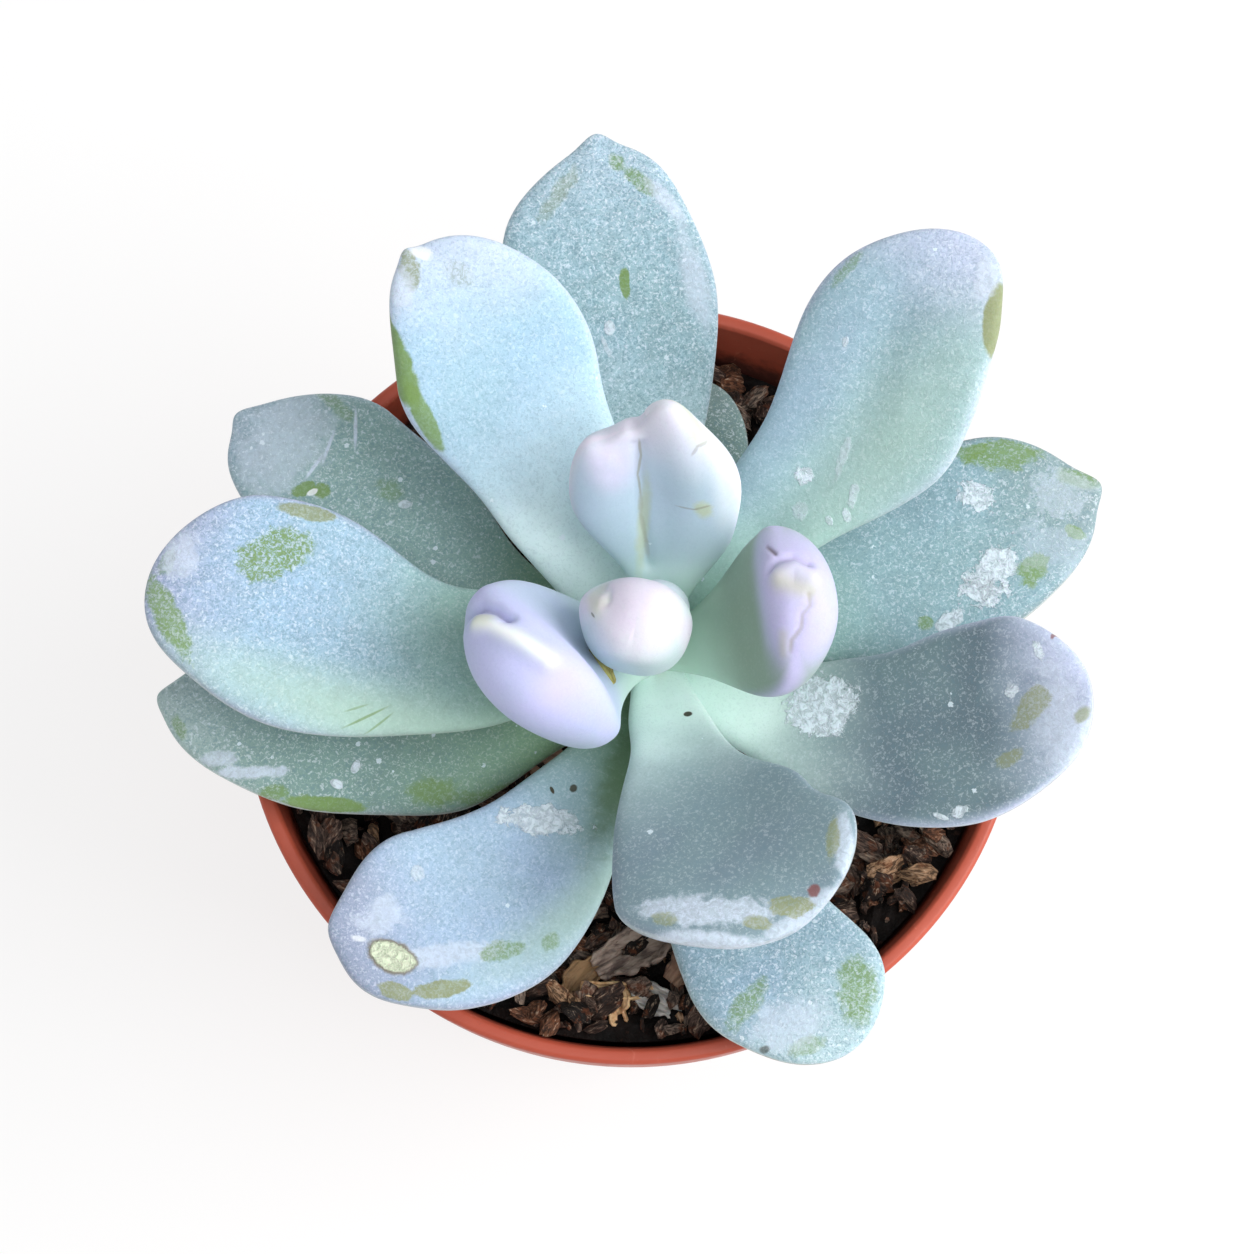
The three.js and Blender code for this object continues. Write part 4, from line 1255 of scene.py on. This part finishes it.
def liesUnder(leaf, x, y, size):
    clear = soilSize["chipReach"] * size + 0.55 * leaf["width"]
    stations = midribOf(leaf)[::midribSteps // 6]
    return any(math.hypot(x - at.x, y - at.y) < clear for at, ahead, left, up in stations)


def chipSpots():
    size = soilSize
    draw = seededDraw(size["chipSeed"])
    clear = potInside(size["level"]) - size["gap"]
    stemClear = size["stemRadius"] + size["gap"] + 1
    spots = []
    while len(spots) < size["chipCount"]:
        wide = size["chipSmall"] + (size["chipLarge"] - size["chipSmall"]) * draw()
        turn = 2 * math.pi * draw()
        out = clear * math.sqrt(draw())
        x, y = out * math.cos(turn), out * math.sin(turn)
        reach = size["chipReach"] * wide
        if out + reach > clear or math.hypot(x - stemAxis["x"], y - stemAxis["y"]) - reach < stemClear:
            continue
        spacing = size["chipSpacing"]
        if any(math.hypot(x - at.x, y - at.y) < spacing * (wide + other.x) for at, other, t in spots):
            continue
        if any(liesUnder(leaf, x, y, wide) for leaf in witheredLeaves if leaf["node"]):
            continue
        sizes = Vector((1, 0.6 + 0.3 * draw(), 0.5 + 0.25 * draw())) * wide
        for corner in range(size["cornerDraws"]):
            draw()
        tilt = size["chipTilt"]
        turns = (tilt * (draw() - 0.5), tilt * (draw() - 0.5), math.pi * draw())
        spots.append((Vector((x, y, size["level"] + size["chipRise"] * wide)), sizes, turns))
    return spots


def soilRise(x, y):  # mm that the soil climbs at the pot's wall, less at the back
    size = soilSize
    atWall = easeBetween(math.hypot(x, y), size["heapFrom"], size["heapTo"])
    return size["heap"] * atWall * easeBetween(-y, -size["heapBack"], -size["heapFront"])


def looseSpots(kind):  # loose pieces, heaped a little towards the pot's wall
    size = soilSize
    count, small, large, tilt = (size[kind + part] for part in ("Count", "Small", "Large", "Tilt"))
    draw = random.Random(size["crumbSeed"] + count)
    clear = potInside(size["level"]) - size["gap"]
    spots = []
    for i in range(count):
        wide = small + (large - small) * draw.random() ** 1.5
        turn, out = draw.uniform(0, 2 * math.pi), (clear - 0.35 * wide) * math.sqrt(draw.random())
        x, y = out * math.cos(turn), out * math.sin(turn)
        rise = soilRise(x, y) + draw.uniform(*size["looseRise"]) * wide
        sizes = Vector([draw.uniform(*size["loose" + way]) for way in ("Long", "Wide", "Thick")]) * wide
        turns = tuple(draw.uniform(-tilt, tilt) for axis in "XY") + (draw.uniform(0, math.pi),)
        spots.append((Vector((x, y, size["level"] + rise)), sizes, turns))
    return spots


barkTones = [  # share of the chips from which each tone holds
    (0, (32, 25, 22)), (0.22, (74, 56, 48)), (0.45, (102, 82, 72)), (0.66, (116, 76, 54)),
    (0.76, (128, 110, 98)), (0.94, (172, 134, 102)),
]
barkLook = dict(dark=(16, 10, 8), red=((122, 70, 44), 0.5), ridges=((204, 178, 154), 0.6))


def makeBarkMaterial():
    material, tree, shader = newMaterial("barkChip", Specular_IOR_Level=0.3)
    place = attributeOf(tree, "chipPlace")["Vector"]
    fibre = noiseOf(tree, 1.8, 4, 0.65, stretched(tree, place, (0.35, 1.6, 1.6)), 0.6)
    patch = noiseOf(tree, 0.7, 3, 0.6, place)
    ramp = tree.nodes.new("ShaderNodeValToRGB")
    ramp.color_ramp.interpolation = "CONSTANT"
    for i, (start, colour) in enumerate(barkTones):
        stop = ramp.color_ramp.elements[i] if i < 2 else ramp.color_ramp.elements.new(start)
        stop.position = start
        stop.color = colourOf(*colour)
    put(tree, attributeOf(tree, "chipTone")["Fac"], ramp.inputs[0])
    tone = ramp.outputs[0]
    darker = blend(tree, 0.8, tone, colourOf(*barkLook["dark"]))
    colour = blend(tree, ease(tree, fibre, 0.42, 0.56), darker, tone)
    colour = tint(tree, colour, ease(tree, patch, 0.52, 0.66), *barkLook["red"])
    colour = tint(tree, colour, ease(tree, fibre, 0.56, 0.68), *barkLook["ridges"])
    dress(tree, shader, colour, ease(tree, patch, 0.35, 0.6, 0.55, 0.95), fibre, 0.4)
    return material


def makeSoilMaterial():
    material, tree, shader = newMaterial("darkSoil", Specular_IOR_Level=0.25)
    grit = noiseOf(tree, 900, 4, 0.7)
    clump = ease(tree, noiseOf(tree, 240, 3, 0.6), 0.35, 0.65)
    colour = blend(tree, clump, colourOf(8, 6, 5), colourOf(24, 16, 13))
    colour = tint(tree, colour, ease(tree, grit, 0.6, 0.7), (70, 48, 38), 0.5)
    dress(tree, shader, colour, ease(tree, grit, 0.3, 0.7, 0.6, 0.95), grit, 0.5)
    return material


def makeSoilBed():
    size = soilSize
    level, gap = size["level"], size["gap"]
    bottom = potSize["floor"] + gap
    bevel = potSize["footBevel"]
    shoulder = level - size["shoulder"]
    edge = potInside(level) - 2 * gap
    outline = [
        (potInside(bottom) - bevel - gap, bottom), (potInside(bottom + bevel) - gap, bottom + bevel),
        (potInside(shoulder) - gap, shoulder),
    ]
    for ring in range(size["topRings"]):
        outline.append((edge * (1 - ring / size["topRings"]), level))
    bed = raiseRings(outline, size["segments"])
    for vertex in bed.data.vertices:
        if vertex.co.z > (level - 0.1) * mm:  # the top only
            at = vertex.co / mm
            lump = noise.noise(at * 0.9) + 0.6 * noise.noise(at * 2.1)
            rise = soilRise(at.x, at.y)
            vertex.co.z += (size["rough"] * lump - size["sink"] + rise) * mm
            vertex.co.xy *= potInside(level + rise) / potInside(level)
    selectOnly(bed)
    bpy.ops.object.shade_flat()
    finishPiece(bed, "soilBed", ["soil"])
    giveMaterial(bed, makeSoilMaterial())


def makeSoil():
    makeSoilBed()
    bark = makeBarkMaterial()
    chipShapes = [makeChipShape(seed, 3, 6, 0.09) for seed in range(1, 9)]
    barkShapes = [makeChipShape(seed, 2, 3, 0) for seed in range(21, 29)]
    crumbShapes = [makeChipShape(seed, 1, 3, 0) for seed in range(11, 15)]
    for name, shapes, spots in [
        ("barkChips", chipShapes, chipSpots()), ("looseBark", barkShapes, looseSpots("bark")),
        ("soilCrumbs", crumbShapes, looseSpots("crumb")),
    ]:
        piece = scatter(shapes, spots, name, 5)
        finishPiece(piece, name, ["soil"])
        giveMaterial(piece, bark)
    for shape in chipShapes + barkShapes + crumbShapes:
        bpy.data.objects.remove(shape)


# withered leaves and husks: dry sheets that lie on the soil, in the same terms as the leaves
# roll: degrees that the sheet curls across; wrinkle: depth of its creases in mm; tones: dark and pale

witheredLeaves = [
    dict(
        name="witheredFront", node="withered_leaf_front", x=6.5, y=-28.5, heading=203, foot=63.2, length=12,
        width=6, rise=(4, 6, 10), sweep=8, roll=230, wrinkle=0.9, tones=((92, 76, 70), (178, 158, 144)),
    ),
    dict(
        name="witheredFrontSmall", node="withered_leaf_front_small", x=2.5, y=-36.4, heading=182, foot=64.6,
        length=8.5, width=3.4, rise=(0, 10, 20), sweep=-12, roll=220, wrinkle=0.5,
        tones=((166, 116, 74), (240, 200, 152)),
    ),
    dict(
        name="witheredLeft", node="withered_leaf_left", x=-8, y=-10.5, heading=150, foot=63.2, length=9.5,
        width=6, rise=(4, 6, 35), sweep=-14, roll=200, wrinkle=0.6, tones=((104, 72, 58), (186, 152, 130)),
    ),
    dict(
        name="huskTan", node=None, x=-1.6, y=-35.4, heading=262, foot=64.6, length=4.6, width=3.2,
        rise=(35, 0, -30), sweep=30, roll=230, wrinkle=0.6, tones=((150, 96, 56), (236, 196, 150)),
    ),
    dict(
        name="huskOlive", node=None, x=-3.4, y=-33.2, heading=205, foot=63.8, length=6, width=4,
        rise=(30, 0, -25), sweep=40, roll=180, wrinkle=0.5, tones=((84, 66, 48), (150, 118, 84)),
    ),
    dict(
        name="huskBrown", node=None, x=9.6, y=-29.8, heading=222, foot=64, length=7.5, width=4.4,
        rise=(10, 5, -10), sweep=10, roll=190, wrinkle=0.5, tones=((82, 60, 50), (168, 134, 112)),
    ),
    dict(
        name="huskSilver", node=None, x=0.4, y=-36.0, heading=338, foot=64.8, length=6, width=3.6,
        rise=(15, -10, -10), sweep=-20, roll=120, wrinkle=0.8, tones=((120, 116, 112), (216, 212, 206)),
    ),
    dict(
        name="huskGrey", node=None, x=6.4, y=-34.4, heading=325, foot=64.4, length=4, width=2.6,
        rise=(10, 0, -10), sweep=0, roll=120, wrinkle=0.5, tones=((104, 98, 94), (180, 172, 164)),
    ),
    dict(
        name="huskCrown", node=None, x=-4.3, y=-2.6, heading=300, foot=92, length=4.6, width=1.9,
        rise=(-10, -20, -45), sweep=0, roll=120, wrinkle=0.2, tones=((118, 104, 52), (176, 172, 104)),
    ),
]
huskSize = dict(  # the sheet's rows and columns, mm through it, and shares of its width and curl
    rows=28, columns=16, thick=0.3, narrowest=0.25, ragged=0.35, curlChange=0.3,
)


def makeHusk(leaf):  # a thin sheet along the midrib, curled across and crumpled
    size = huskSize
    stations = midribOf(leaf)
    narrowest, change = size["narrowest"], size["curlChange"]
    coords, faces, places = [], [], []
    for i in range(size["rows"] + 1):
        s = i / size["rows"]
        at, ahead, left, up = stationAt(stations, s)
        along = s * leaf["length"]
        fullness = narrowest + (1 - narrowest) * math.sin(math.pi * (0.12 + 0.8 * s))
        edge = noise.noise(Vector((s * 6, leaf["heading"], 0)))
        half = leaf["width"] / 2 * fullness * (1 + size["ragged"] * edge)
        curl = math.radians(leaf["roll"]) * (1 - change + change * math.sin(3 * s + leaf["heading"]))
        radius = 2 * half / curl
        for j in range(size["columns"] + 1):
            t = 2 * j / size["columns"] - 1
            turn = t * curl / 2
            crumple = Vector((along * 0.35, t * half * 1.6, leaf["heading"]))
            pleat = Vector((along * 0.12, t * half * 2.4, leaf["heading"] + 9))
            crease = leaf["wrinkle"] * (noise.noise(crumple) + 0.7 * noise.noise(pleat))
            side = left * (radius * math.sin(turn)) + up * (radius * (1 - math.cos(turn)))
            inward = up * math.cos(turn) - left * math.sin(turn)
            coords.append((at + side + inward * crease) * mm)
            places.extend((along, t * half, 1))
    wide = size["columns"] + 1
    for i in range(size["rows"]):
        for a in range(i * wide, i * wide + size["columns"]):
            faces.append((a, a + wide, a + wide + 1, a + 1))
    piece = newPiece(leaf["name"], coords, faces, [("leafPlace", "FLOAT_VECTOR", "vector", places)])
    applyModifier(piece, "SOLIDIFY", thickness=size["thick"] * mm, offset=0)
    selectOnly(piece)
    bpy.ops.object.shade_smooth()
    finishPiece(piece, leaf["name"], [leaf["node"]] if leaf["node"] else [])
    giveMaterial(piece, makeWitheredMaterial(leaf))


def makeWitheredMaterial(leaf):
    dark, pale = leaf["tones"]
    material, tree, shader = newMaterial(
        leaf["name"] + "Skin", Specular_IOR_Level=0.3, Subsurface_Weight=0.1, Subsurface_Scale=0.001
    )
    place = attributeOf(tree, "leafPlace")["Vector"]
    fibre = noiseOf(tree, 1.6, 4, 0.6, stretched(tree, place, (0.3, 1.1, 0.4)), 0.3)
    blotch = noiseOf(tree, 380, 3, 0.6)
    colour = blend(tree, ease(tree, fibre, 0.28, 0.62), colourOf(*dark), colourOf(*pale))
    colour = tint(tree, colour, ease(tree, blotch, 0.5, 0.7), dark, 0.5)
    dress(tree, shader, colour, ease(tree, blotch, 0.3, 0.7, 0.6, 0.85), fibre, 0.2)
    return material


# stem: short and stout, with a ring at each fallen leaf

stemSize = dict(segments=36, scarDepth=0.18, outline=[  # mm: radius and height of each ring
    (1.4, 39), (3.0, 51), (3.9, 59), (3.8, 65), (3.4, 68), (3.8, 71), (3.4, 74), (3.6, 77), (3.2, 80),
    (2.7, 83.5), (1.6, 85),
])


def makeStemMaterial():
    material, tree, shader = newMaterial(
        "stemSkin", Specular_IOR_Level=0.3, Subsurface_Weight=0.1, Subsurface_Scale=0.002
    )
    x, y, height = partsOf(tree, objectPlace(tree))
    bark = noiseOf(tree, 380, 4, 0.6)
    greener = ease(tree, height, 0.066, 0.080)
    colour = blend(tree, greener, colourOf(112, 104, 78), colourOf(146, 170, 128))
    colour = tint(tree, colour, ease(tree, bark, 0.45, 0.65), (86, 72, 52), 0.5)
    dress(tree, shader, colour, ease(tree, bark, 0.3, 0.7, 0.55, 0.8), bark, 0.2)
    return material


def makeStem():
    stem = raiseRings(stemSize["outline"], stemSize["segments"])
    applyModifier(stem, "SUBSURF", levels=2, render_levels=2)
    for vertex in stem.data.vertices:
        at = vertex.co / mm
        scar = noise.noise(Vector((at.x * 0.5, at.y * 0.5, at.z * 0.9)))
        vertex.co += Vector((at.x, at.y, 0)).normalized() * (stemSize["scarDepth"] * scar * mm)
        vertex.co += Vector((stemAxis["x"], stemAxis["y"], 0)) * mm
    selectOnly(stem)
    bpy.ops.object.shade_smooth()
    finishPiece(stem, "stoutStem", ["stem"])
    giveMaterial(stem, makeStemMaterial())


makeStem()
print("stem raised")
for leaf in witheredLeaves:
    makeHusk(leaf)
print("withered leaves laid")
makeSoil()
print("soil filled")
